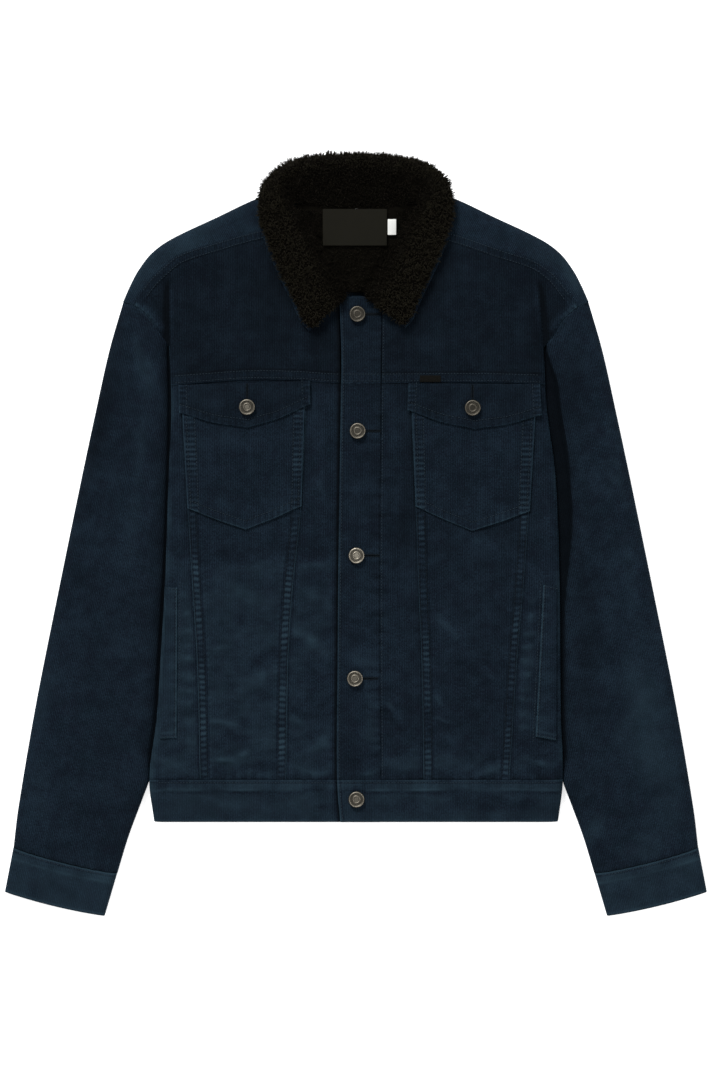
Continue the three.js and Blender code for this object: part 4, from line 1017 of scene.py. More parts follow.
def lay_front(node, grid, face, sides):
    """Front piece on the back: its face, down to where it lies on the back. Sides are its rounded rims."""
    grid = drawn_in(grid)
    x, y = xy(grid)
    height, shade = face(x, y)
    drop = rim_soft(grid, STRIP_RISE, sides)[0]
    piece = closed_wall(node, raised(x, y, height - drop), raised(x, y, BODY_BACK + SEAM_GAP), shade)
    declare_cloth(grid)


def cut_lower_fronts(name, sign):
    beside = (lambda y: -placket_free(y)) if sign < 0 else placket_seam
    cuts = (
        ("centre_front", beside, inner_seam[name], 46, 5, ""),
        ("middle_front", inner_seam[name], outer_seam[name], 110, 13, "lr"),
        ("side_front", outer_seam[name], side_fold[name], 45, 5, ""),
    )
    for node, inner, outer, width, border, sides in cuts:
        meets = meet_yoke(inner, sign), meet_yoke(outer, sign)
        grid = panel_grid(inner, outer, sign, (level(WAIST_Y), (WAIST_Y, WAIST_Y)), (yoke_seam, meets),
                          spaced(width, 1.8, border=border), spaced(430, 1.45))
        lay_front(f"{node}_{name}", grid, lower_face, sides)


def shoulder_line(name, sign):
    """Shoulder seam from the neck to the armhole."""
    seam = shoulder_seam[name]
    first, last = SHOULDER_SEAM[0]["out"], SHOULDER_SEAM[-1]["out"]
    end_gap = float(armhole[name](seam(last))) - last
    return lambda t: (sign * (mix(first, last, t) + end_gap * t ** 8), seam(mix(first, last, t)))


def cut_front_yoke(name, sign):
    beside, fold, seam = neck_edge[name], side_fold[name], shoulder_seam[name]
    yoke_inner, yoke_outer = meet_yoke(beside, sign), meet_yoke(fold, sign)
    first = SHOULDER_SEAM[0]["out"]
    armhole_end = float(seam(SHOULDER_SEAM[-1]["out"]))

    def outer_edge(t):
        y = mix(yoke_outer, armhole_end, t)
        return sign * np.where(y < ARMPIT_Y, fold(y), armhole[name](y)), y

    def inner_edge(t):
        y = mix(yoke_inner, float(seam(first)), t)
        return sign * mix(beside(y), first, np.asarray(t) ** 8), y

    grid = patch(seam_across(yoke_seam, sign * beside(yoke_inner), sign * fold(yoke_outer)),
                 shoulder_line(name, sign), inner_edge, outer_edge,
                 spaced(190, 1.9), spaced(150, 1.8, border=12.5))
    lay_front(f"front_yoke_{name}", grid, yoke_face, "bt")


def cut_shoulder_strip(name, sign):
    """Strip of the back yoke that comes over the shoulder."""
    bottom = shoulder_line(name, sign)
    first, last = SHOULDER_EDGE[0]["out"], SHOULDER_EDGE[-1]["out"]

    def top(t):
        return sign * mix(first, last, t), shoulder_edge(mix(first, last, t))

    up = 1 - (1 - spaced(36, 1.3)) ** 1.5
    ends = [line(bottom(t), top(t)) for t in (0.0, 1.0)]
    grid = drawn_in(patch(bottom, top, *ends, spaced(210, 1.7), up))
    x, y = xy(grid)
    rise = rounded(1 - up[:, None], 0.42)
    drop, edge = rim_soft(grid, 0.8, "lr")
    height = mix(FOLD_EDGE - 1.6, front_base(x, y) + 0.3 * lumps(x, y, 30, 9.1), rise) - drop * rise
    floor = np.minimum(BODY_BACK + SEAM_GAP, height - 0.2)
    # The strip's cut rims are painted paler, for wear and as a painted highlight.
    shade = 0.3 * edge + 0.1 * lumps(x, y, 26, 3.8) + folds(SHOULDER_TONES, x, y)
    piece = closed_wall(f"shoulder_strip_{name}", raised(x, y, height), raised(x, y, floor), shade,
                        sign * -0.5, replaced=False)
    declare_cloth(grid)


def plate(node, outline, bottom, top, soft, upper=None, rests_on=None, finish="navy_corduroy",
          ending="cloth"):
    """Flat piece from its outline, its lower and upper rims rounded."""
    upper = soft if upper is None else upper
    outline = np.asarray(outline, float)
    ahead = np.roll(outline, -1, 0)
    way = ahead - np.roll(outline, 1, 0)
    signed = 0.5 * np.sum(outline[:, 0] * ahead[:, 1] - outline[:, 1] * ahead[:, 0])
    normal = np.stack([way[:, 1], -way[:, 0]], axis=-1) * np.sign(signed)
    normal /= np.linalg.norm(normal, axis=-1, keepdims=True)
    turns = np.radians([0, 22, 45, 68, 90])
    levels = [(bottom + soft * (1 - math.sin(a)), soft * (1 - math.cos(a))) for a in turns[::-1]]
    levels += [(top - upper * (1 - math.sin(a)), upper * (1 - math.cos(a))) for a in turns]
    rings = [np.column_stack([outline - normal * inset, np.full(len(outline), z)]) for z, inset in levels]
    points = np.concatenate(rings)
    faces = capped_tube(len(rings), len(outline))
    if signed < 0:
        faces = [face[::-1] for face in faces]
    piece = new_piece(f"{node}_{ending}", points, faces, finish, [node])
    set_grain(piece, points[:, :2])
    for polygon in piece.data.polygons[-2:]:
        polygon.use_smooth = False
    if rests_on:
        flat = tuple(float(v) for v in (outline.max(0) - outline.min(0)) * MM)


def two_sides(curves, levels, inset=0.0):
    """Outline points up the right side, and down the left one."""
    right = [(float(curves["right"](y)) - inset, y) for y in levels]
    return right, [(inset - float(curves["left"](y)), y) for y in levels[::-1]]


def cut_backs():
    panel = two_sides(side_fold, np.linspace(WAIST_Y + 0.1, BACK_SEAM_Y - 0.1, 60))
    band_line = two_sides(side_fold, (HEM_Y, WAIST_Y - 0.1))
    halves = []
    for name, sign in SIDES:
        low = np.linspace(BACK_SEAM_Y + 0.1, ARMPIT_Y - 1, 6)
        side = [(sign * float(side_fold[name](y)), y) for y in low]
        hole = [(sign * float(armhole[name](y)), y) for y in np.linspace(207, 252, 16)]
        edge = [(sign * out, float(shoulder_edge(out))) for out in np.linspace(250, 86, 60)]
        halves.append(side + hole + edge)
    left, right = halves
    neck = [(x, NECK_Y + 6 * (x / 60) ** 2) for x in np.linspace(60, -60, 13)]
    outlines = {"back_panel": sum(panel, []), "waistband_back": sum(band_line, []),
                "back_yoke": right + neck + left[::-1]}
    for node, outline in outlines.items():
        plate(node, outline, 0, BODY_BACK, 3.0, 0.2, ["stage_floor"])


def placket_face(x, y):
    """Placket: a turned free edge, a flush sewn edge, puckers, and the chest seam's strip over it."""
    free, seam = x - placket_free(y), placket_seam(y) - x
    edge_ridge, seam_ridge = roped(y, 1.15, 3.9), roped(y, 1.9, 5.9)
    creased = wavered(PLACKET_CREASES, x, y) + placket_puckers(x, y)
    relief = 0.5 * fading(free, 5) * (edge_ridge - 0.5) - 0.25 * near(free, 3.2, 0.9) + creased
    relief += 0.3 * fading(seam, 9) * (seam_ridge - 0.5) + 0.3 * lumps(x, y * 1.5, 20, 2.7)
    # Painted highlight on the free edge, painted shade in its stitch row and at the sewn edge.
    shade = 0.5 * near(free, 0.8, 0.9) + 0.28 * fading(free, 4) * edge_ridge - 0.30 * near(free, 3.2, 0.8)
    shade += 0.30 * fading(seam, 10) * (seam_ridge - 0.45) - 0.35 * fading(seam, 1.0)
    cross = y - yoke_seam(x)
    relief += STRIP_RISE * 0.8 * ease(cross / 0.4) * ease((YOKE_STRIP - cross) / 1.4 + 0.5)
    # Painted highlight on the chest strip and its edge, painted shadow under that edge.
    shade += band(cross, 1.6, YOKE_STRIP - 1.0, 1.4) * 0.35 * roped(x, 1, 1.1) + 0.6 * near(cross, 0.4, 0.7)
    shade -= 0.5 * fading(past(-cross), 1.6) * (cross < 0)
    # Each buttonhole's slit is sunk and painted dark as painted shade.
    for bx, by in FRONT_BUTTONS:
        slit = near(x, bx + 15, 10) * near(y, by, 1.1)
        relief -= 0.6 * slit
        shade -= 0.9 * slit
    shade += 0.12 * lumps(x, y * 1.5, 26, 7.7) + 0.24 * creased + folds(PLACKET_NAP_AND_SHADE, x, y) - 0.16
    return PLACKET_TOP + folds(FRONT_FOLDS, x, y) * 0.6 - 1.5 * (1 - ease(seam / 15)) + relief, shade


def crown_line(t):
    """Rounded top of the placket."""
    x = mix(placket_free(CROWN_LEFT), placket_seam(CROWN_RIGHT), t)
    left = x < CROWN_X
    end = np.where(left, placket_free(CROWN_END), placket_seam(CROWN_END))
    low = np.where(left, CROWN_LEFT, CROWN_RIGHT)
    part = (x - CROWN_X) / (end - CROWN_X)
    return x, mix(low, CROWN_Y, np.sqrt(past(1 - part * part)))


def cut_placket():
    def edge(curve, end):
        return seam_up(curve, 1, WAIST_Y, float(crown_line(end)[1]))

    grid = drawn_in(patch(
        line((placket_free(WAIST_Y), WAIST_Y), (placket_seam(WAIST_Y), WAIST_Y)), crown_line,
        edge(placket_free, 0.0), edge(placket_seam, 1.0), spaced(45, 1.1), spaced(520, 1.4)))
    x, y = xy(grid)
    height, shade = placket_face(x, y)
    drop = rim_soft(grid, 1.6, "lt")[0]
    piece = closed_wall("placket", raised(x, y, height - drop), raised(x, y, BAND_TOP + SEAM_GAP), shade)
    declare_cloth(grid)
    up = np.linspace(HEM_Y, 238, 30)
    hidden = [(float(placket_free(y)), y) for y in up] + [(float(placket_seam(y)), y) for y in up[::-1]]
    plate("button_band", hidden, BODY_BACK + SEAM_GAP, BAND_TOP, 0.8, rests_on=["back_panel_cloth"])


BAND_RIDGE = 11.6


def waistband_sewn(x, y):
    """Sewing of the waistband: the turned seam inside shows as a ridge below its top edge."""
    d, from_edge = WAIST_Y - y, placket_free(y) - x
    allowance = band(d, -2.0, BAND_RIDGE + 1.2 * np.sin(x / 27), 3.2)
    ridge, uneven = roped(x, 1.7, 5.5), lumps(x, y * 2, 26, 4.6)
    creased = wavered(BAND_CREASES, x, y)
    relief = allowance * (0.55 + 0.3 * ridge) - 0.3 * near(d, 3.1, 0.9) + creased + 0.3 * lumps(x, y, 24, 5.2)
    # Painted shade in the stitch row below the top edge; the top edge itself a little darker or paler along
    # it.
    shade = (0.22 * lumps(x, 0 * x, 30, 2.2) - 0.10) * near(d, 0.8, 0.8) - 0.45 * near(d, 3.1, 0.8) + 0.14
    shade += allowance * (0.06 + 0.24 * uneven + 0.12 * ridge) + 0.24 * creased + folds(BAND_TONES, x, y)
    # Painted highlight on the turned ridge, painted shadow just under it.
    shade += (0.16 + 0.34 * uneven) * near(d, BAND_RIDGE - 0.5, 1.6)
    shade -= (0.16 + 0.2 * uneven) * near(d, BAND_RIDGE + 1.8, 2.0)
    # Painted shadow of the right waistband's end on the left one, a painted highlight on that end, shade in
    # its stitch row.
    shade -= 1.1 * near(past(from_edge), 0, 3.2) * (from_edge > 0) * (x < 0)
    shade += 0.5 * near(from_edge, -0.9, 0.9) - 0.3 * near(from_edge, -3.2, 0.8)
    # Painted highlight along the lower edge.
    return relief, shade + 0.35 * near(d, 44.5, 1.4) + 0.14 * lumps(x * 0.7, y, 16, 6.4)


def over_placket(x, y, sign):
    """1 where the waistband lies over the placket, which only the right one does."""
    return ease((placket_seam(y) + 3 - x) / 5) if sign > 0 else 0 * x


def waistband_face(sign):
    """Outer face of a side's waistband, and its shade."""
    def face(x, y):
        relief, shade = waistband_sewn(x, y)
        lift = mix(WAISTBAND_TOP, PLACKET_TOP + 0.6, over_placket(x, y, sign)) - BODY_TOP
        side = by_side(side_fold, x, y) - np.abs(x)
        return front_base(x, y) + (lift + relief) * rounded(side, FOLD_ROUND), shade + fold_shade(x, y)

    return face


def cut_waistband(name, sign):
    grid = drawn_in(panel_grid(lambda y: sign * placket_free(y), side_fold[name], sign,
                               (level(HEM_Y), (HEM_Y, HEM_Y)), (level(WAIST_Y), (WAIST_Y, WAIST_Y)),
                               spaced(235, 1.9), spaced(WAISTBAND_HEIGHT, 0.9)))
    x, y = xy(grid)
    height, shade = waistband_face(sign)(x, y)
    drop = rim_soft(grid, 1.2, "lt")[0] + rim_soft(grid, 2.4, "b")[0]
    floor = mix(BODY_BACK, BAND_TOP, over_placket(x, y, sign)) + SEAM_GAP
    piece = closed_wall(f"waistband_front_{name}", raised(x, y, height - drop), raised(x, y, floor), shade,
                        stride=4)
    declare_cloth(grid)


SLEEVE_TILT = 0.185
SLEEVE_TUCK = 0.1


def cuff_line(start, end, sign):
    def curve(t):
        return sign * mix(start[0], end[0], t), mix(start[1], end[1], t) - CUFF_BOW * 4 * t * (1 - t)
    return curve


def sleeve_grid(name, sign, across, up):
    def inner(y):
        beside = side_fold[name](np.minimum(y, ARMPIT_Y)) + 0.05
        return np.where(y > WAIST_Y - 4, beside, sleeve_inner_free(y))

    def hole(t):
        y = mix(252.0, ARMPIT_Y, t)
        return sign * (armhole[name](y) - SLEEVE_TUCK), y + SLEEVE_TUCK

    (_, hole_top), (hole_x, hole_low) = hole(0.0), hole(1.0)

    def inner_edge(t):
        y = mix(hole_low, CUFF_SEAM[1][1], t)
        return sign * mix(inner(y), abs(hole_x), past(1 - np.asarray(t) * 30)), y

    return patch(hole, cuff_line(*CUFF_SEAM, sign), seam_up(sleeve_outer, sign, hole_top, CUFF_SEAM[0][1]),
                 inner_edge, across, up)


def hollow_width(sign, y):
    """Width of the hollow between the body's fold and the sleeve's rolled edge, painted dark as painted
    shade.
    """
    if sign < 0:
        return 3.0 + 1.6 * ease((y - 90) / 40)
    return 4.4 + 12.5 * ease((y + 95) / 125) * ease((ARMPIT_Y - y) / 46)


def cut_sleeve(name, sign):
    across, up = spaced(118, 2.0), spaced(600, 2.2)
    grid = drawn_in(sleeve_grid(name, sign, across, up))
    x, y = xy(grid)
    outside, inside, top, bottom = rim_distance(grid)
    beside_body = ease((y[:, -1:] - WAIST_Y) / 30)
    low = mix(SLEEVE_BACK + 1.2, mix(SLEEVE_BACK + 1.2, 6.0, beside_body), across[None, :])
    crown = 1.2 * np.sin(np.pi * across)[None, :] * (1 - 0.4 * up)[:, None]
    hollow = hollow_width(sign, y) * beside_body
    rise = np.minimum(rounded(outside, 15), rounded(past(inside - hollow * 0.8), mix(15, 20, beside_body)))
    creased = wavered(SLEEVE_CREASES, x, y)
    cuff_ridge, hole_ridge = roped(x, 2.0, 4.4 + sign), roped(y + x, 1.5, 1.4 + sign)
    relief = creased + 0.35 * lumps(x, y, 38, 6.1) + 0.12 * lumps(x, y, 12, 2.1)
    relief += 0.7 * fading(bottom, 7) * (cuff_ridge - 0.5) + 0.6 * fading(top, 7) * (hole_ridge - 0.5)
    height = mix(low, SLEEVE_TOP + crown + relief, rise) - rim_soft(grid, 0.7, "t")[0]
    # Painted shade: the sleeve is painted near black in the hollow under the body's fold, and a little darker
    # past it.
    deepest = 0.85 + 0.5 * ease(inside / hollow.clip(1) - 0.2)
    under_body = beside_body * (1 - ease((inside - hollow + 0.8) / 2.4)) * deepest
    beyond = beside_body * near(past(inside - hollow), 0, 9) * (1 - under_body.clip(0, 1))
    # Painted highlight on the armhole's rim, painted shadow of the cuff above its seam.
    shade = 0.35 * near(top, 0.7, 0.8) + 0.3 * fading(top, 5) * (hole_ridge - 0.4) - 0.5 * fading(bottom, 1.3)
    shade += 0.35 * fading(bottom, 6) * (cuff_ridge - 0.5) + 0.14 * creased + folds(SLEEVE_NAP_AND_SHADE, x, y)
    shade += 0.08 * lumps(x * 1.3, y * 0.8, 30, 1.8) - 1.15 * under_body - 0.10
    shade -= 0.36 * beyond + 0.09 * ease((y + 190) / 120) if sign < 0 else 0.16 * beyond
    piece = closed_wall(f"sleeve_top_{name}", raised(x, y, height), raised(x, y, SLEEVE_BACK + SEAM_GAP),
                        shade, sign * SLEEVE_TILT, upward=sign < 0)
    declare_cloth(grid)
    flat = drawn_in(sleeve_grid(name, sign, np.linspace(0, 1, 12), np.linspace(0, 1, 90)))
    outline = np.concatenate([flat[:, 0], flat[-1, 1:-1], flat[::-1, -1], flat[0, -2:0:-1]])
    plate(f"sleeve_under_{name}", outline, 0, SLEEVE_BACK, 1.8, 0.2, ["stage_floor"])


CUFF_LENGTH = 48
CUFF_WALL = 4.6


def cuff_ring(v, shrink, sign):
    """Points all round the cuff at a fraction v of its length, drawn in by a wall."""
    start, end = line(CUFF_SEAM[0], CUFF_END[0])(v), line(CUFF_SEAM[1], CUFF_END[1])(v)
    half = CUFF_TOP / 2 - shrink
    turns = np.radians(np.linspace(90, 0, 7))
    rim = (shrink + half * (1 - np.sin(turns))) / math.dist(start, end)
    rise = half * np.cos(turns)
    middle = np.linspace(rim[-1], 1 - rim[-1], 54)[1:-1]
    t = np.concatenate([rim, middle, 1 - rim[::-1]])
    z = np.concatenate([rise, np.full(middle.shape, half), rise[::-1]])
    t, z = np.concatenate([t, t[-2:0:-1]]), np.concatenate([z, -z[-2:0:-1]])
    return np.column_stack([*cuff_line(start, end, sign)(t), z + CUFF_TOP / 2])


def cut_cuff(name, sign):
    """Cuff pressed flat: a band all round, with the slit of its end open."""
    lengths = spaced(46, 1.1)
    outer, inner = (np.array([cuff_ring(mix(SEAM_GAP / CUFF_LENGTH, 1, v), wall, sign) for v in lengths])
                    for wall in (0, CUFF_WALL))
    d = (lengths * CUFF_LENGTH)[:, None]
    x, y = xy(outer)
    allowance, uneven = band(d, 1.0, BAND_RIDGE, 1.4), lumps(x, y * 2, 24, 1.6)
    relief = allowance * (0.325 + 0.35 * roped(x, 1.7, 3.5 + sign)) + 0.2 * lumps(x, y, 22, 7.2)
    relief -= 1.4 * (2 - rounded(d, 1.6) - rounded(CUFF_LENGTH - d, 1.6))
    # Painted highlights on the cuff's edges and its turned ridge, painted shade in its stitch row.
    shade = 0.4 * near(d, 0.8, 0.9) + allowance * (0.10 + 0.20 * uneven) - 0.4 * near(d, 3.1, 0.8) + 0.18
    shade = shade + (0.2 + 0.2 * uneven) * near(d, BAND_RIDGE - 0.5, 1.5) + 0.35 * near(d, 46, 1.4)
    shade += 0.12 * lumps(x, y, 16, 3.7)
    outer[..., 2] += np.where(outer[..., 2] > CUFF_TOP * 0.9, relief, 0)
    rows, columns = outer.shape[:2]
    points = np.concatenate([outer.reshape(-1, 3), inner.reshape(-1, 3)])
    count, far = rows * columns, (rows - 1) * columns
    faces = quads(rows, columns, wrap=True).tolist()
    faces += quads(rows, columns, count, wrap=True)[:, ::-1].tolist()
    for c in range(columns):
        n = (c + 1) % columns
        faces.append([count + c, count + n, n, c])
        faces.append([far + c, far + n, count + far + n, count + far + c])
    if sign < 0:
        faces = [face[::-1] for face in faces]
    piece = new_piece(f"cuff_{name}_cloth", points, faces, "navy_corduroy", [f"cuff_{name}"])
    set_grain(piece, grain_of(points, sign * SLEEVE_TILT))
    set_wear_and_painted_light(piece, np.concatenate([shade.ravel(), np.zeros(count)]))


# Pockets, flaps and welts

def corners_of(table, name, sign):
    return {key: (sign * out, y) for key, (out, y) in table[name].items()}


def four_cornered(at, bottom, across, up):
    return patch(bottom, line(at["inner_top"], at["outer_top"]), line(at["inner"], at["inner_top"]),
                 line(at["outer"], at["outer_top"]), across, up)


def pointed_grid(table, name, sign, across, up, bow):
    """Grid of a piece whose lower edge comes to a point, each half of it bowed down a little."""
    at = corners_of(table, name, sign)
    first, second = line(at["inner"], at["point"]), line(at["point"], at["outer"])

    def bottom(t):
        a, b = first(np.minimum(t * 2, 1)), second(past(t * 2 - 1))
        low = np.asarray(t) < 0.5
        return np.where(low, a[0], b[0]), np.where(low, a[1], b[1]) - bow * np.sin(2 * np.pi * t) ** 2

    return four_cornered(at, bottom, across, up)


def welt_grid(name, sign, across, up):
    at = corners_of(WELT, name, sign)
    return four_cornered(at, line(at["inner"], at["outer"]), across, up)


def lay_on(node, grid, lift, thick, relief, shade, soft=1.1, turned="lrbt"):
    """Piece that follows the front under it, moved out from it. Its turned rims are painted paler, for wear
    and as a painted highlight.
    """
    x, y = xy(grid)
    base = front_base(x, y) + lift
    drop, edge = rim_soft(grid, soft)[0], rim_soft(grid, soft, turned)[1]
    piece = closed_wall(node, raised(x, y, base + thick + relief - drop), raised(x, y, base),
                        shade + 0.65 * edge, stride=5)
    declare_cloth(grid)


def cut_pocket(name, sign):
    grid = pointed_grid(POCKET, name, sign, spaced(130, 1.7, border=15), spaced(135, 1.35, border=12),
                        POCKET_BOW)
    x, y = xy(grid)
    inner, outer, bottom, _ = rim_distance(grid)
    seed = 2.0 + sign
    relief = 0.35 * lumps(x, y * 1.4, 24, 1.9 + sign)
    # Painted highlights on the puckers' and the hem's crests, painted shade in the stitch rows.
    shade = 0.14 * lumps(x, y * 1.5, 22, 4.4 + sign) - 0.14
    for distance, shift, wide in ((inner, 0.0, 12.6), (outer, 3.0, 14.0)):
        ridge = roped(y, 0.92, seed + shift, 0.7)
        on = band(distance, 1.8, wide - 0.8, 1.4)
        relief += band(distance, -2, wide, 1.2) * 0.35 + on * 0.95 * (ridge - 0.45)
        shade += on * (1.05 * ridge - 0.34)
        for row in (4.2, wide - 0.9):
            relief -= 0.22 * near(distance, row, 0.9)
            shade -= 0.30 * near(distance, row, 0.8)
    hem, ridge = band(bottom, -2.0, 10.8, 1.4), roped(x, 1.1, seed + 5)
    creases = [(sign * out, at_y, sign * degrees, *size) for out, at_y, degrees, *size in POCKET_CREASES]
    relief += hem * (0.35 + 0.35 * (ridge - 0.5)) - 0.22 * near(bottom, 9.6, 0.9) + folds(creases, x, y)
    shade += 0.38 * hem * (ridge - 0.1) - 0.28 * near(bottom, 9.6, 0.8)
    lay_on(f"chest_pocket_{name}", grid, POCKET_LIFT, POCKET_WALL, relief, shade)


def cut_flap(name, sign):
    grid = pointed_grid(FLAP, name, sign, spaced(142, 1.35), spaced(36, 0.9), FLAP_BOW)
    x, y = xy(grid)
    inner, outer, bottom, top = rim_distance(grid)
    seed = 5.0 + sign
    bx, by = FLAP_BUTTONS[name]
    # The buttonhole's slit is sunk and painted dark as painted shade.
    slit = near(x, bx, 1.2) * near(y, by + 18, 9)
    hem, ridge, end_ridge = band(bottom, -2.0, 8.6, 1.3), roped(x, 1.2, seed), roped(y, 0.85, seed + 2)
    relief = hem * (0.35 + 0.35 * (ridge - 0.5)) + 0.4 * lumps(x, y * 1.2, 20, 2.9 + sign)
    relief -= 0.25 * near(bottom, 8.6, 0.9) + 0.5 * fading(top, 2.5) + 0.7 * slit
    relief += 1.0 * near(x, bx - sign * 36, 28) * near(y, by + 8, 6)
    relief += 0.7 * near(x, bx + sign * 34, 22) * near(y, by + 2, 6)
    # Painted highlights on the hem's and the ends' crests, painted shade in the hem's stitch row; darker all
    # over.
    shade = 0.30 * hem * (ridge - 0.2) - 0.30 * near(bottom, 8.6, 0.8)
    shade += 0.12 * lumps(x, y * 1.5, 20, 5.4 + sign) - 0.9 * slit - 0.42
    for distance in (inner, outer):
        ends = band(distance, 0.6, 8.6, 1.4)
        relief += ends * (0.2 + 0.7 * (end_ridge - 0.5))
        shade += 0.6 * ends * (end_ridge - 0.2)
    lay_on(f"flap_{name}", grid, FLAP_LIFT, FLAP_WALL - 0.4, relief, shade,
           soft=1.3, turned="lrb")


def cut_welt(name, sign):
    grid = welt_grid(name, sign, spaced(17, 0.9), spaced(163, 1.3))
    x, y = xy(grid)
    inner, _, bottom, _ = rim_distance(grid)
    ridge = roped(y, 1.8, 8.1 + sign)
    relief = 0.6 * fading(inner, 5) * (ridge - 0.5) + 0.25 * lumps(x, y, 20, 3.9)
    # Painted highlights on the crests by the inner edge, painted shade in its stitch row, a paler line near
    # the bottom.
    shade = 0.35 * ridge * fading(inner, 5) - 0.3 * near(inner, 2.2, 0.7) + 0.3 * near(bottom, 6, 1.2)
    shade += 0.10 * lumps(x * 0.6, y, 12, 2.6 + sign) + (0.14 if sign < 0 else 0.0)
    lay_on(f"welt_{name}", grid, POCKET_LIFT, POCKET_WALL, relief, shade,
           turned="lb")


# Collar and lining

class CollarForm:
    """The collar's sections all round, smooth from the right front edge to the left one."""

    def __init__(self):
        rows = [dict(row) for row in COLLAR]
        rows += [dict(row, inX=-row["inX"], outX=-row["outX"]) for row in COLLAR[-2::-1]]
        for number, row in enumerate(rows):
            row["station"] = number
            tip_and_painted_light = max(0.0, 1 - number / 3)
            row["outX"] += 3.0 * tip_and_painted_light
            row["outY"] += 3.5 * tip_and_painted_light
        self.last = len(rows) - 1
        self.curves = {column: through(rows, "station", column) for column in COLLAR[0]}

    def at(self, station):
        """The section at a station, with its length from the neck to the outer edge."""
        row = {column: curve(station) for column, curve in self.curves.items()}
        row["length"] = np.hypot(row["outX"] - row["inX"], row["outY"] - row["inY"])
        return row

    def place(self, row, t):
        return mix(row["inX"], row["outX"], t), mix(row["inY"], row["outY"], t)

    def top(self, row, station, t):
        """Height of the pile's face at a fraction t from the neck to the outer edge."""
        leaf = np.minimum(row["under"] + COLLAR_PILE, row["crest"] - 1)
        inner = np.maximum(row["inward"] + 3, mix(row["inward"], row["crest"], 0.35))
        rising = mix(inner, row["crest"], np.sin(np.pi / 2 * np.clip(t / row["roll"], 0, 1)))
        beyond = np.clip((t - row["roll"]) / (1 - row["roll"]), 0, 1)
        falling = mix(row["crest"], leaf, ease(beyond * 0.9))
        height = np.where(t < row["roll"], rising, falling)
        height = mix(row["under"] + COLLAR_PILE * 0.35, height, rounded(1 - t, 0.1))
        end = np.minimum(station, self.last - station)
        return mix(row["under"] + COLLAR_PILE * 0.4, height, rounded(end, 0.45))

    def bottom(self, row, t):
        return mix(row["inward"], row["under"], ease((t - 0.1) / 0.12))


LEAF_INSET = 1.6
END_STATIONS = np.array([0, 0.04, 0.1, 0.2, 0.32, 0.46])


def collar_faces():
    """Points of the collar's pile, stations round it by steps from neck to edge and back, and its tone, which
    is painted light and shade.
    """
    form = CollarForm()
    stations = np.concatenate([END_STATIONS, np.linspace(0.6, form.last - 0.6, 190),
                               form.last - END_STATIONS[::-1]])[:, None]
    t = np.concatenate([np.linspace(0, 0.9, 26), [0.93, 0.955, 0.975, 0.99, 1.0]])[None, :]
    row = form.at(stations)
    shown = 1 - LEAF_INSET * np.clip(row["lip"] / 2.2, 0, 1) / row["length"]
    x, y = form.place(row, t * shown)
    # Painted light on the leaf past the roll, painted shade inside the stand and at the back; the points
    # paler, one side darker.
    tone = ease((t - row["roll"] * 0.75) / 0.16) * np.where(row["roll"] > 0.5, 0.78, 1.0)
    tip_and_painted_light = fading(np.minimum(stations, form.last - stations), 2.2)
    # Where the tone is near 0, inside the stand, it goes below 0 for deeper painted shade.
    tone = tone * (1 + 0.35 * tip_and_painted_light) * np.where(stations < form.last / 2, 0.97, 0.90) - 0.25 * (tone < 0.05)
    lumpy = 0.7 * lumps(x, y, 11, 2.2) + 0.5 * lumps(x, y, 6, 5.2)
    top = raised(x, y, form.top(row, stations, t) - 1.6 + lumpy * rounded(1 - t, 0.1))
    back_t = np.linspace(1, 0, 9)[None, :]
    x, y = form.place(row, back_t * shown)
    return np.concatenate([top, raised(x, y, form.bottom(row, back_t))], axis=1), top, tone


def unit(vectors):
    return vectors / np.maximum(np.linalg.norm(vectors, axis=-1, keepdims=True), 1e-9)


def face_normals(grid):
    """Unit normals of a grid of points, upward."""
    normal = np.cross(np.gradient(grid, axis=1), np.gradient(grid, axis=0))
    return unit(normal * np.where(normal[..., 2:] < 0, -1, 1))


def scattered(grid, tone, count, random):
    """Points spread over a grid of points by area, with their normals and tone."""
    a = grid[1:, 1:] - grid[:-1, :-1]
    b = grid[1:, :-1] - grid[:-1, 1:]
    area = np.linalg.norm(np.cross(a, b), axis=-1).ravel()
    chosen = random.choice(area.size, count, p=area / area.sum())
    r, c = np.divmod(chosen, grid.shape[1] - 1)
    u, v = random.random((2, count, 1))

    def spread(values):
        low = mix(values[r, c], values[r, c + 1], u)
        return mix(low, mix(values[r + 1, c], values[r + 1, c + 1], u), v)

    return spread(grid), unit(spread(face_normals(grid))), spread(tone[..., None])


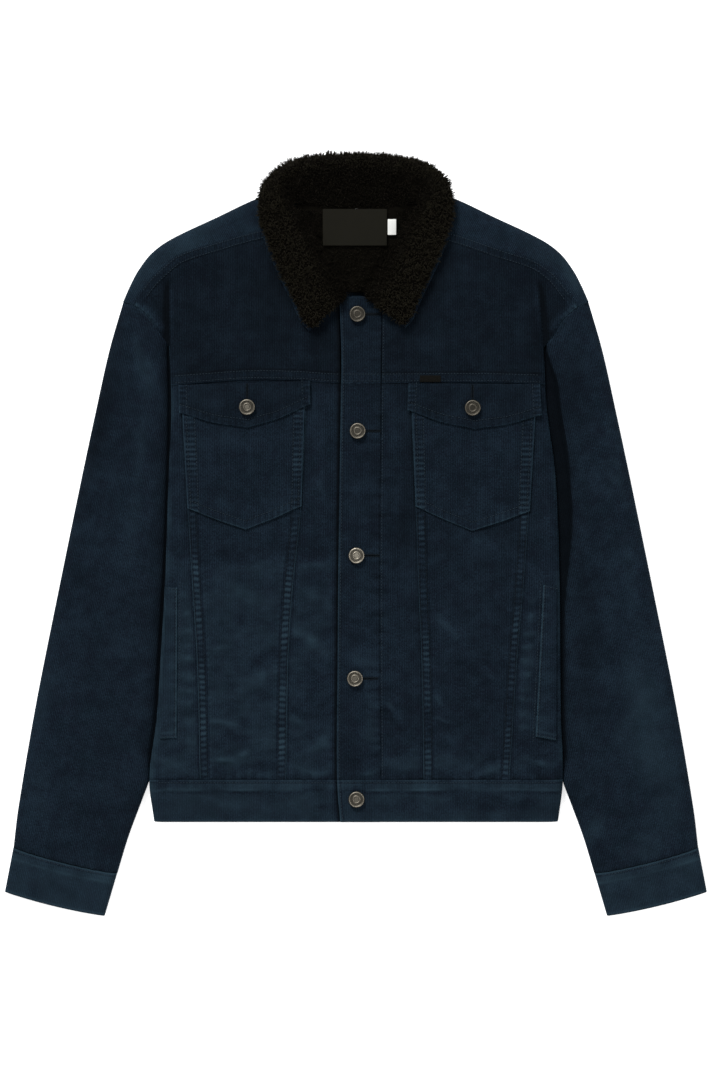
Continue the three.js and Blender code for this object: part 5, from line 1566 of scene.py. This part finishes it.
def curls(name, grid, tone, count, seed, short=1.0):
    """Wavy locks of pile standing on a face, as one joined mesh. A tone of 1 is paler than 0, as painted
    light; below 0 is painted shade.
    """
    random = np.random.default_rng(seed)
    each = (count, 1, 1)
    root, normal, tone = scattered(grid, tone, count, random)
    length = sizes().curl_length / MM * short * random.uniform(0.6, 1.2, each)
    length *= np.where(random.random(each) < 0.14, 1.55, 1.0)
    steps, corners = 4, 3
    t = np.linspace(0, 1, steps)[None, :, None]
    helper = random.normal(size=(count, 3))
    a = unit(np.cross(normal, helper))
    b = np.cross(normal, a)
    phase = random.uniform(0, 2 * np.pi, each)
    turns = random.uniform(0.35, 0.9, each) * np.where(random.random(each) < 0.5, -1, 1)
    swing = random.uniform(0.5, 1.2, each) * t ** 0.8
    angle = phase + 2 * np.pi * turns * t
    clump = np.stack([lumps(*root[:, :2].T, 7, 1.4), lumps(*root[:, :2].T, 7, 6.3)], axis=-1)
    lean = 2.0 * clump[:, None] + random.normal(0, 0.55, (count, 1, 2))
    path = (root[:, None] + normal[:, None] * length * (t - 0.12 - 0.3 * t ** 3)
            + a[:, None] * (swing * np.cos(angle)) + b[:, None] * (swing * np.sin(angle)))
    path[..., :2] += lean * t * 1.4
    tangent = unit(np.gradient(path, axis=1))
    side = unit(np.cross(tangent, helper[:, None]))
    other = np.cross(tangent, side)
    thick = random.uniform(0.48, 0.80, each) * (1.0 - 0.72 * t ** 1.5)
    around = np.linspace(0, 2 * np.pi, corners, endpoint=False)[None, None, :, None]
    ring = side[:, :, None] * np.cos(around) + other[:, :, None] * np.sin(around)
    points = path[:, :, None] + thick[..., None] * ring
    shift = (np.arange(count) * steps * corners)[:, None, None]
    block = quads(steps, corners, wrap=True)
    caps = np.array([[2, 1, 0], [(steps - 1) * corners + i for i in range(corners)]])
    faces = (block[None] + shift).reshape(-1, 4).tolist() + (caps[None] + shift).reshape(-1, 3).tolist()
    piece = new_piece(name, points.reshape(-1, 3), faces, "curly_pile")
    # Each curl's brightness carries the tone's painted light and shade, and grows paler along the curl.
    bright = (0.2 + 0.8 * tone[:, None]) * np.clip(0.3 + 0.8 * t, 0, 1) * random.uniform(0.7, 1.25, each)
    set_values(piece, "tip_and_painted_light", np.broadcast_to(bright[..., None], (count, steps, corners, 1)))


def make_collar():
    ring, top, tone = collar_faces()
    base = new_piece("collar_pile", ring.reshape(-1, 3), capped_tube(*ring.shape[:2]), "curly_pile",
                     ["collar_top"])
    fix_facing(base)
    declare_cloth(top)
    curls("collar_curls", top + (0, 0, 0.4), tone, sizes().collar_curls, 11)


def make_under_collar():
    form = CollarForm()
    stations = np.linspace(0, form.last, 260)[:, None]
    row = form.at(stations)
    reach = np.array([-20, -14, -8, -3, -1, 0, 0.4, 0.8, 1])[None, :]
    inside = reach < 0
    distance = np.where(inside, reach, -1 + reach * (row["lip"] + 1))
    distance = np.where(inside & (row["lip"] < 0), reach - 3, distance)
    x, y = form.place(row, 1 + distance / row["length"])
    top = row["under"] - SEAM_GAP
    puckers = np.where(inside, 0, 0.25 * (roping(stations * 15, 5.0, 2.0) - 0.5))
    edge = np.where(reach >= 0.8, 0.5, 0) + np.where(reach >= 1, 0.4, 0)
    outer, inner = raised(x, y, top - edge + puckers), raised(x, y, top - UNDER_COLLAR_WALL + edge * 0.3)
    shade = np.where(reach >= 0, 0.12 * np.sin(stations * 5.3) - 0.12, 0)
    piece = closed_wall("under_collar", outer, inner, shade, 0.7, stride=1)
    fix_facing(piece)
    declare_cloth(outer[..., :2])


def make_lining():
    right, left = two_sides(neck_edge, np.linspace(262, NECK_Y - 6, 40), 1.0)
    neck = [(x, NECK_Y + 5 * (x / 60) ** 2) for x in np.linspace(64, -64, 17)]
    plate("neck_lining", right + neck + left, BODY_BACK + SEAM_GAP, LINING_TOP - 2.4, 0.6,
          rests_on=["back_yoke_cloth"], finish="curly_pile", ending="pile")
    low, high = 264, NECK_Y + 1
    edges = [seam_up(lambda y, out=neck_edge[name]: out(y) - 3, sign, low, high) for name, sign in SIDES]
    even = np.linspace(0, 1, 40)
    grid = patch(seam_across(level(low), -17, 27), seam_across(lambda x: high + 5 * (x / 60) ** 2, -62, 62),
                 *edges, even, even)
    x, y = xy(grid)
    label = band(x, -35, 43, 2) * band(y, 313, 350.5, 2)
    place = raised(x, y, LINING_TOP - 2.6 + 0.6 * lumps(x, y, 9, 4.2) - 2.2 * label)
    beside = np.minimum(neck_edge["right"](y) - x, x + neck_edge["left"](y))
    # The lining's tone is painted shade: dark all over and darker still beside the neck's edges.
    curls("lining_curls", place, -0.08 - 0.25 * near(beside, 0, 15), sizes().lining_curls, 23, 0.8)


# Labels, tab and buttons

def label_outline(low, high, corner, count=5):
    """Rectangle with slightly rounded corners."""
    points = []
    for cx, cy, start in ((high.x - corner, low.y + corner, -90), (high.x - corner, high.y - corner, 0),
                          (low.x + corner, high.y - corner, 90), (low.x + corner, low.y + corner, 180)):
        for a in np.radians(np.linspace(start, start + 90, count)):
            points.append((cx + corner * math.cos(a), cy + corner * math.sin(a)))
    return points


def make_labels():
    for node, finish, slot in (("neck_label", "black_satin", "satin"),
                               ("size_label", "white_tape", "paper_label"),
                               ("tab", "black_ribbon", "satin")):
        low, high = (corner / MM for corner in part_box(node))
        plate(node, label_outline(low, high, 0.7), low.z, high.z, 0.3, finish=finish)


# Radius and height of the button's face from its middle to its rim, and down its back to the cloth
BUTTON_PROFILE = (
    (0.0, 3.02), (1.2, 3.02), (2.3, 3.0), (2.7, 2.9), (3.0, 3.1), (3.3, 3.55), (3.7, 3.7), (4.1, 3.5),
    (4.4, 3.05), (4.8, 2.88), (6.2, 2.88), (6.6, 3.05), (6.9, 3.6), (7.3, 4.1), (7.6, 4.15), (8.0, 3.95),
    (8.4, 3.45), (8.62, 2.9), (8.6, 2.2), (8.2, 1.75), (4.8, 1.5), (4.6, 1.2), (4.6, 0.0), (0.0, 0.0),
)
BUTTON_CENTRE = 2.5
BUTTON_DISH = 2.88
# How bright each button's metal and its flat middle are polished by wear
FRONT_POLISH = ((0.45, 0.10), (0.75, 0.20), (1.45, 1.90), (1.00, 0.55), (0.85, 0.55))
FLAP_POLISH = {"left": (0.80, 0.70), "right": (0.45, 0.05)}


def make_button(name, node, polish, tilt=0.0):
    """Shank button: a raised rim, a dished ring and an inner ring round a flat middle, all plain."""
    low, high = (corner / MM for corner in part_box(node))
    around = 72
    angles = np.linspace(0, 2 * np.pi, around, endpoint=False)
    rings = [np.column_stack([r * np.cos(angles), r * np.sin(angles), np.full(around, z)])
             for r, z in BUTTON_PROFILE[1:-1]]
    points = np.concatenate(rings + [[(0, 0, BUTTON_PROFILE[0][1])], [(0, 0, 0)]])
    rows = len(rings)
    top, base, last = rows * around, rows * around + 1, (rows - 1) * around
    faces = quads(rows, around, wrap=True)[:, ::-1].tolist()
    for i in range(around):
        n = (i + 1) % around
        faces += [[top, i, n], [base, last + n, last + i]]
    height, radius = points[:, 2].copy(), np.linalg.norm(points[:, :2], axis=1)
    points[:, 2] += tilt * points[:, 0] / BUTTON_RADIUS * np.clip(height - 1.6, 0, 1)
    centre = ((low.x + high.x) / 2, (low.y + high.y) / 2, low.z)
    piece = new_piece(name, points + centre, faces, "antique_metal", [node])
    bright = polish[0] * (0.18 + 0.82 * np.clip((height - BUTTON_DISH) / 0.85, 0, 1))
    middle = (radius < BUTTON_CENTRE) & (height > BUTTON_DISH + 0.02)
    set_values(piece, "raised", np.where(middle, polish[1], bright))


def make_buttons():
    for number, polish in enumerate(FRONT_POLISH, 1):
        make_button(f"front_button_{number}", f"button_{number}", polish, 0.12 * (-1) ** number)
    for name, _ in SIDES:
        make_button(f"pocket_button_{name}", f"flap_button_{name}", FLAP_POLISH[name])


# Stitches and buttonholes

def resampled(path, pitch):
    """Points an even pitch apart along a path of points."""
    walked = walk(path, 0)
    at = np.arange(pitch / 2, walked[-1], pitch)
    return np.column_stack([np.interp(at, walked, path[:, axis]) for axis in range(path.shape[1])])


# A stitch from end to end: along it, its height and its thickness
STITCH_ALONG = np.array([-1.0, -0.6, 0.0, 0.6, 1.0])
STITCH_RISE = np.array([-0.30, 0.10, 0.26, 0.10, -0.30])
STITCH_GIRTH = np.array([0.35, 0.9, 1.0, 0.9, 0.35])


def stitched(paths, name, thread, pitch, finish="navy_thread", fill=0.72):
    """Stitches along paths of points, as one joined mesh of short thread ends."""
    rows = [resampled(path, pitch) for path in paths]
    centre, way = np.concatenate(rows), np.concatenate([unit(np.gradient(row, axis=0)) for row in rows])
    side = unit(np.cross(way, (0.0, 0.0, 1.0)))
    top = np.cross(side, way)
    around = np.radians([45, 135, 225, 315])
    spine = (centre[:, None] + way[:, None] * (STITCH_ALONG * pitch * fill / 2)[None, :, None]
             + top[:, None] * STITCH_RISE[None, :, None])
    ring = (side[:, None] * np.cos(around)[None, :, None] + top[:, None] * np.sin(around)[None, :, None])
    points = spine[:, :, None] + ring[:, None] * (STITCH_GIRTH * thread / 2)[None, :, None, None]
    block = np.array(capped_tube(len(STITCH_ALONG), len(around)))
    stitch_points = len(STITCH_ALONG) * len(around)
    faces = (block[None] + (np.arange(len(centre)) * stitch_points)[:, None, None]).reshape(-1, 4)
    fix_facing(new_piece(name, points.reshape(-1, 3), faces.tolist(), finish))


def on_face(face, x, y):
    """Path of points on a face."""
    return np.column_stack([x, y, face(x, y)[0]])


def over_front(path, lift):
    """Path of points over the plain front."""
    return np.column_stack([path, front_base(path[:, 0], path[:, 1]) + lift])


def inset_path(grid, rim, distance):
    """Path across a grid at a distance from one of its rims, l, r, b or t."""
    lines = grid.swapaxes(0, 1) if rim in "lr" else grid
    lines = lines[::-1] if rim in "rt" else lines
    walked = walk(lines, 0)
    return np.array([[np.interp(distance, walked[:, c], lines[:, c, axis]) for axis in (0, 1)]
                     for c in range(lines.shape[1])])


def strip_stitch_paths():
    """Rows along the felled strips of the lower fronts."""
    ys = np.linspace(WAIST_Y + 3, 20, 200)
    return [on_face(lower_face, sign * (strip["seam"][name](ys) + strip["way"] * d), ys)
            for name, sign in SIDES for strip in STRIPS for d in (1.6, strip["wide"] - 1.2)]


# Rows of stitches over the chest seam, by their distance from it
YOKE_ROWS = (2.4, YOKE_STRIP - 1.2)


def front_stitch_paths():
    """Rows along the chest and shoulder seams, beside the welts and along the placket's seam."""
    paths = []
    for name, sign in SIDES:
        first, last = float(neck_edge[name](170)) + 1.5, float(side_fold[name](166)) - 6
        xs = sign * np.linspace(first, last, 160)
        paths += [on_face(yoke_face, xs, yoke_seam(xs) + d) for d in YOKE_ROWS]
        outs = np.linspace(92, 232, 180)
        seam = shoulder_seam[name](outs)
        tilt = np.gradient(seam, outs)
        slant = np.sqrt(1 + tilt ** 2)
        for d in (1.6, SHOULDER_STRIP - 1.0):
            paths.append(on_face(yoke_face, sign * (outs + d * tilt / slant), seam - d / slant))
        (low_out, low), (high_out, high) = WELT[name]["inner"], WELT[name]["inner_top"]
        ys = np.linspace(low - 6, high + 6, 90)
        paths.append(on_face(lower_face, sign * (np.interp(ys, [low, high], [low_out, high_out]) - 2.6), ys))
    for face, ys in ((lower_face, np.linspace(WAIST_Y + 3, 160, 300)),
                     (yoke_face, np.linspace(168, 236, 60))):
        paths.append(on_face(face, placket_seam(ys) + 2.2, ys))
    return paths


def placket_stitch_paths():
    ys, xs = np.linspace(WAIST_Y + 2, 244, 420), np.linspace(-14, 25, 40)
    return [on_face(placket_face, placket_free(ys) + 2.6, ys)] + [
        on_face(placket_face, xs, yoke_seam(xs) + d) for d in YOKE_ROWS]


def band_stitch_paths():
    """Rows along the waistband's and the cuffs' seams, and down the waistband's end."""
    paths = []
    for (name, sign), start in zip(SIDES, (22.5, -15.0)):
        face = waistband_face(sign)
        xs = sign * np.linspace(start, 214, 200)
        paths.append(on_face(face, xs, WAIST_Y - 3.0 + 0 * xs))
        if sign > 0:
            ys = np.linspace(HEM_Y + 3, WAIST_Y - 3, 30)
            paths.append(on_face(face, placket_free(ys) + 3.0, ys))
        x, y = cuff_line(*CUFF_SEAM, sign)(np.linspace(0.06, 0.94, 80))
        paths.append(raised(x + sign * 0.6, y - 3.0, CUFF_TOP + 0.3))
    return paths


def pocket_stitch_paths():
    """Rows round the pockets, the flaps and the welts."""
    pocket_top, flap_top = POCKET_LIFT + POCKET_WALL, FLAP_LIFT + FLAP_WALL
    pocket_rows = (("l", 4.2), ("l", 11.7), ("r", 4.2), ("r", 13.1), ("b", 9.6))
    paths = []
    for name, sign in SIDES:
        for grid, lift, rows in (
            (pointed_grid(POCKET, name, sign, spaced(130, 4), spaced(135, 4), POCKET_BOW), pocket_top + 0.25,
             pocket_rows),
            (pointed_grid(FLAP, name, sign, spaced(142, 3), spaced(36, 2), FLAP_BOW), flap_top - 0.2,
             (("b", 9.0), ("l", 8.6), ("r", 8.6))),
            (welt_grid(name, sign, spaced(17, 3), spaced(163, 4)), pocket_top + 0.1,
             (("l", 1.8), ("b", 1.8), ("t", 1.8))),
        ):
            paths += [over_front(inset_path(grid, rim, d), lift) for rim, d in rows]
    return paths


def buttonhole_paths():
    """Close bar of thread round each buttonhole: two rows of stitches across its slit."""
    reach, rows = np.linspace(8, 25, 30), (-0.9, 0.9)
    paths = [on_face(placket_face, bx + reach, by + d + 0 * reach) for bx, by in FRONT_BUTTONS for d in rows]
    for name, _ in SIDES:
        bx, by = FLAP_BUTTONS[name]
        for d in rows:
            slit = np.column_stack([bx + d + 0 * reach, by + reach])
            paths.append(over_front(slit, FLAP_LIFT + FLAP_WALL - 0.9))
    return paths


def make_stitches():
    thread, pitch = sizes().thread / MM, sizes().stitch_pitch / MM
    stitched(front_stitch_paths(), "front_stitches", thread, pitch)
    stitched(strip_stitch_paths(), "strip_stitches", thread, pitch, "dark_thread")
    stitched(placket_stitch_paths() + band_stitch_paths(), "band_stitches", thread, pitch)
    stitched(pocket_stitch_paths(), "pocket_stitches", thread, pitch)
    stitched(buttonhole_paths(), "buttonhole_stitches", thread * 1.6, 0.9, "dark_thread", 1.2)


# Camera, light and floor

CAMERA_LENS = 85.0
SENSOR = 36.0
PHOTO_SIZE = (712, 1067)
MM_PER_PIXEL = 1.08
PHOTO_CENTRE = (0.16, 0.97)
FLOOR_HALF = 3.0
# Each lamp's place, size and power
LAMPS = {
    "key": ((-1.5, 4.0, 3.2), 1.7, 290.0),
    "fill": ((2.1, 0.0, 2.1), 1.6, 22.0),
    "low": ((-0.7, -2.0, 1.8), 1.4, 22.0),
}


def in_scene(name, data):
    """A new object in the scene."""
    made = bpy.data.objects.new(name, data)
    bpy.context.scene.collection.objects.link(made)
    return made


def make_stage():
    scene, half = bpy.context.scene, FLOOR_HALF
    mesh = bpy.data.meshes.new("stage_floor")
    corners = [(-half, -half, 0), (half, -half, 0), (half, half, 0), (-half, half, 0)]
    mesh.from_pydata(corners, [], [(0, 1, 2, 3)])
    mesh.materials.append(material("pale_floor"))
    floor = in_scene("stage_floor", mesh)
    floor.location.z = -0.0006

    camera = bpy.data.cameras.new("photo_camera")
    camera.lens = CAMERA_LENS
    camera.sensor_fit = "VERTICAL"
    camera.sensor_height = SENSOR
    eye = in_scene("photo_camera", camera)
    seen = PHOTO_SIZE[1] * MM_PER_PIXEL * MM
    eye.location = (PHOTO_CENTRE[0] * MM, PHOTO_CENTRE[1] * MM, seen * CAMERA_LENS / SENSOR + 0.015)
    scene.camera = eye

    for name, (place, size, power) in LAMPS.items():
        lamp = bpy.data.lights.new(name, "AREA")
        lamp.shape = "DISK"
        lamp.size = size
        lamp.energy = power
        lit = in_scene(name, lamp)
        lit.location = place
        lit.rotation_euler = (-lit.location.normalized()).to_track_quat("-Z", "Y").to_euler()
    scene.world = scene.world or bpy.data.worlds.new("studio")
    scene.world.use_nodes = True
    sky = scene.world.node_tree.nodes["Background"]
    sky.inputs["Color"].default_value = (1.0, 1.0, 1.0, 1.0)
    sky.inputs["Strength"].default_value = 0.30
    scene.view_settings.view_transform = "Standard"


class JACKET_OT_stage(Operator):
    """Floor, lights and the camera at the photograph's angle."""

    bl_idname = "jacket.stage"
    bl_label = "Stage"

    def execute(self, context):
        make_stage()
        return {"FINISHED"}


class JACKET_OT_backs(Operator):
    """Back panel, back yoke and the back of the waistband."""

    bl_idname = "jacket.backs"
    bl_label = "Back"

    def execute(self, context):
        cut_backs()
        return {"FINISHED"}


class JACKET_OT_lower_fronts(Operator):
    """Panels under the chest seam."""

    bl_idname = "jacket.lower_fronts"
    bl_label = "Lower fronts"

    def execute(self, context):
        for name, sign in SIDES:
            cut_lower_fronts(name, sign)
        return {"FINISHED"}


class JACKET_OT_yokes(Operator):
    """Front yokes above the chest seam."""

    bl_idname = "jacket.yokes"
    bl_label = "Front yokes"

    def execute(self, context):
        for name, sign in SIDES:
            cut_front_yoke(name, sign)
        return {"FINISHED"}


class JACKET_OT_shoulder_strips(Operator):
    """The back yoke where it comes over the shoulders."""

    bl_idname = "jacket.shoulder_strips"
    bl_label = "Shoulder strips"

    def execute(self, context):
        for name, sign in SIDES:
            cut_shoulder_strip(name, sign)
        return {"FINISHED"}


class JACKET_OT_placket(Operator):
    """Placket and the band under it."""

    bl_idname = "jacket.placket"
    bl_label = "Placket"

    def execute(self, context):
        cut_placket()
        return {"FINISHED"}


class JACKET_OT_waistband(Operator):
    """The waistband's two fronts."""

    bl_idname = "jacket.waistband"
    bl_label = "Waistband"

    def execute(self, context):
        for name, sign in SIDES:
            cut_waistband(name, sign)
        return {"FINISHED"}


class JACKET_OT_sleeves(Operator):
    """Top and under sleeves."""

    bl_idname = "jacket.sleeves"
    bl_label = "Sleeves"

    def execute(self, context):
        for name, sign in SIDES:
            cut_sleeve(name, sign)
        return {"FINISHED"}


class JACKET_OT_cuffs(Operator):
    """Cuffs, pressed flat."""

    bl_idname = "jacket.cuffs"
    bl_label = "Cuffs"

    def execute(self, context):
        for name, sign in SIDES:
            cut_cuff(name, sign)
        return {"FINISHED"}


class JACKET_OT_pockets(Operator):
    """Chest pockets with pointed ends."""

    bl_idname = "jacket.pockets"
    bl_label = "Chest pockets"

    def execute(self, context):
        for name, sign in SIDES:
            cut_pocket(name, sign)
        return {"FINISHED"}


class JACKET_OT_flaps(Operator):
    """Pocket flaps."""

    bl_idname = "jacket.flaps"
    bl_label = "Flaps"

    def execute(self, context):
        for name, sign in SIDES:
            cut_flap(name, sign)
        return {"FINISHED"}


class JACKET_OT_welts(Operator):
    """Hand pocket welts."""

    bl_idname = "jacket.welts"
    bl_label = "Welts"

    def execute(self, context):
        for name, sign in SIDES:
            cut_welt(name, sign)
        return {"FINISHED"}


class JACKET_OT_under_collar(Operator):
    """Corduroy under the collar's leaf."""

    bl_idname = "jacket.under_collar"
    bl_label = "Under collar"

    def execute(self, context):
        make_under_collar()
        return {"FINISHED"}


class JACKET_OT_collar(Operator):
    """Pile collar and its curls."""

    bl_idname = "jacket.collar"
    bl_label = "Collar"

    def execute(self, context):
        make_collar()
        return {"FINISHED"}


class JACKET_OT_lining(Operator):
    """Pile lining in the neck."""

    bl_idname = "jacket.lining"
    bl_label = "Lining"

    def execute(self, context):
        make_lining()
        return {"FINISHED"}


class JACKET_OT_labels(Operator):
    """Blank labels and tab."""

    bl_idname = "jacket.labels"
    bl_label = "Labels"

    def execute(self, context):
        make_labels()
        return {"FINISHED"}


class JACKET_OT_buttons(Operator):
    """Shank buttons."""

    bl_idname = "jacket.buttons"
    bl_label = "Buttons"

    def execute(self, context):
        make_buttons()
        return {"FINISHED"}


class JACKET_OT_stitches(Operator):
    """Stitching and buttonholes."""

    bl_idname = "jacket.stitches"
    bl_label = "Stitches"

    def execute(self, context):
        make_stitches()
        return {"FINISHED"}


OPERATORS = (
    JACKET_OT_stage,
    JACKET_OT_backs,
    JACKET_OT_lower_fronts,
    JACKET_OT_yokes,
    JACKET_OT_shoulder_strips,
    JACKET_OT_placket,
    JACKET_OT_waistband,
    JACKET_OT_sleeves,
    JACKET_OT_cuffs,
    JACKET_OT_pockets,
    JACKET_OT_flaps,
    JACKET_OT_welts,
    JACKET_OT_under_collar,
    JACKET_OT_collar,
    JACKET_OT_lining,
    JACKET_OT_labels,
    JACKET_OT_buttons,
    JACKET_OT_stitches,
)


class JACKET_PT_panel(Panel):
    """Lists the jacket's pieces in the sidebar."""

    bl_idname = "JACKET_PT_panel"
    bl_label = "Sherpa lined jacket"
    bl_space_type = "VIEW_3D"
    bl_region_type = "UI"
    bl_category = "Jacket"

    def draw(self, context):
        layout = self.layout
        for group in (context.scene.jacket_sizes, context.scene.jacket_colours):
            box = layout.box()
            for name in group.bl_rna.properties.keys():
                if name not in {"rna_type", "name"}:
                    box.prop(group, name)
        for made in OPERATORS:
            layout.operator(made.bl_idname)


CLASSES = (JacketSizes, JacketColours, JACKET_PT_panel) + OPERATORS


def register():
    for made in CLASSES:
        bpy.utils.register_class(made)
    bpy.types.Scene.jacket_sizes = PointerProperty(type=JacketSizes)
    bpy.types.Scene.jacket_colours = PointerProperty(type=JacketColours)


def unregister():
    del bpy.types.Scene.jacket_colours
    del bpy.types.Scene.jacket_sizes
    for made in reversed(CLASSES):
        bpy.utils.unregister_class(made)


def main():
    register()
    for made in OPERATORS:
        group, name = made.bl_idname.split(".")
        if getattr(getattr(bpy.ops, group), name)() != {"FINISHED"}:
            raise RuntimeError(f"{made.bl_label} wasn't made")


if __name__ == "__main__":
    main()
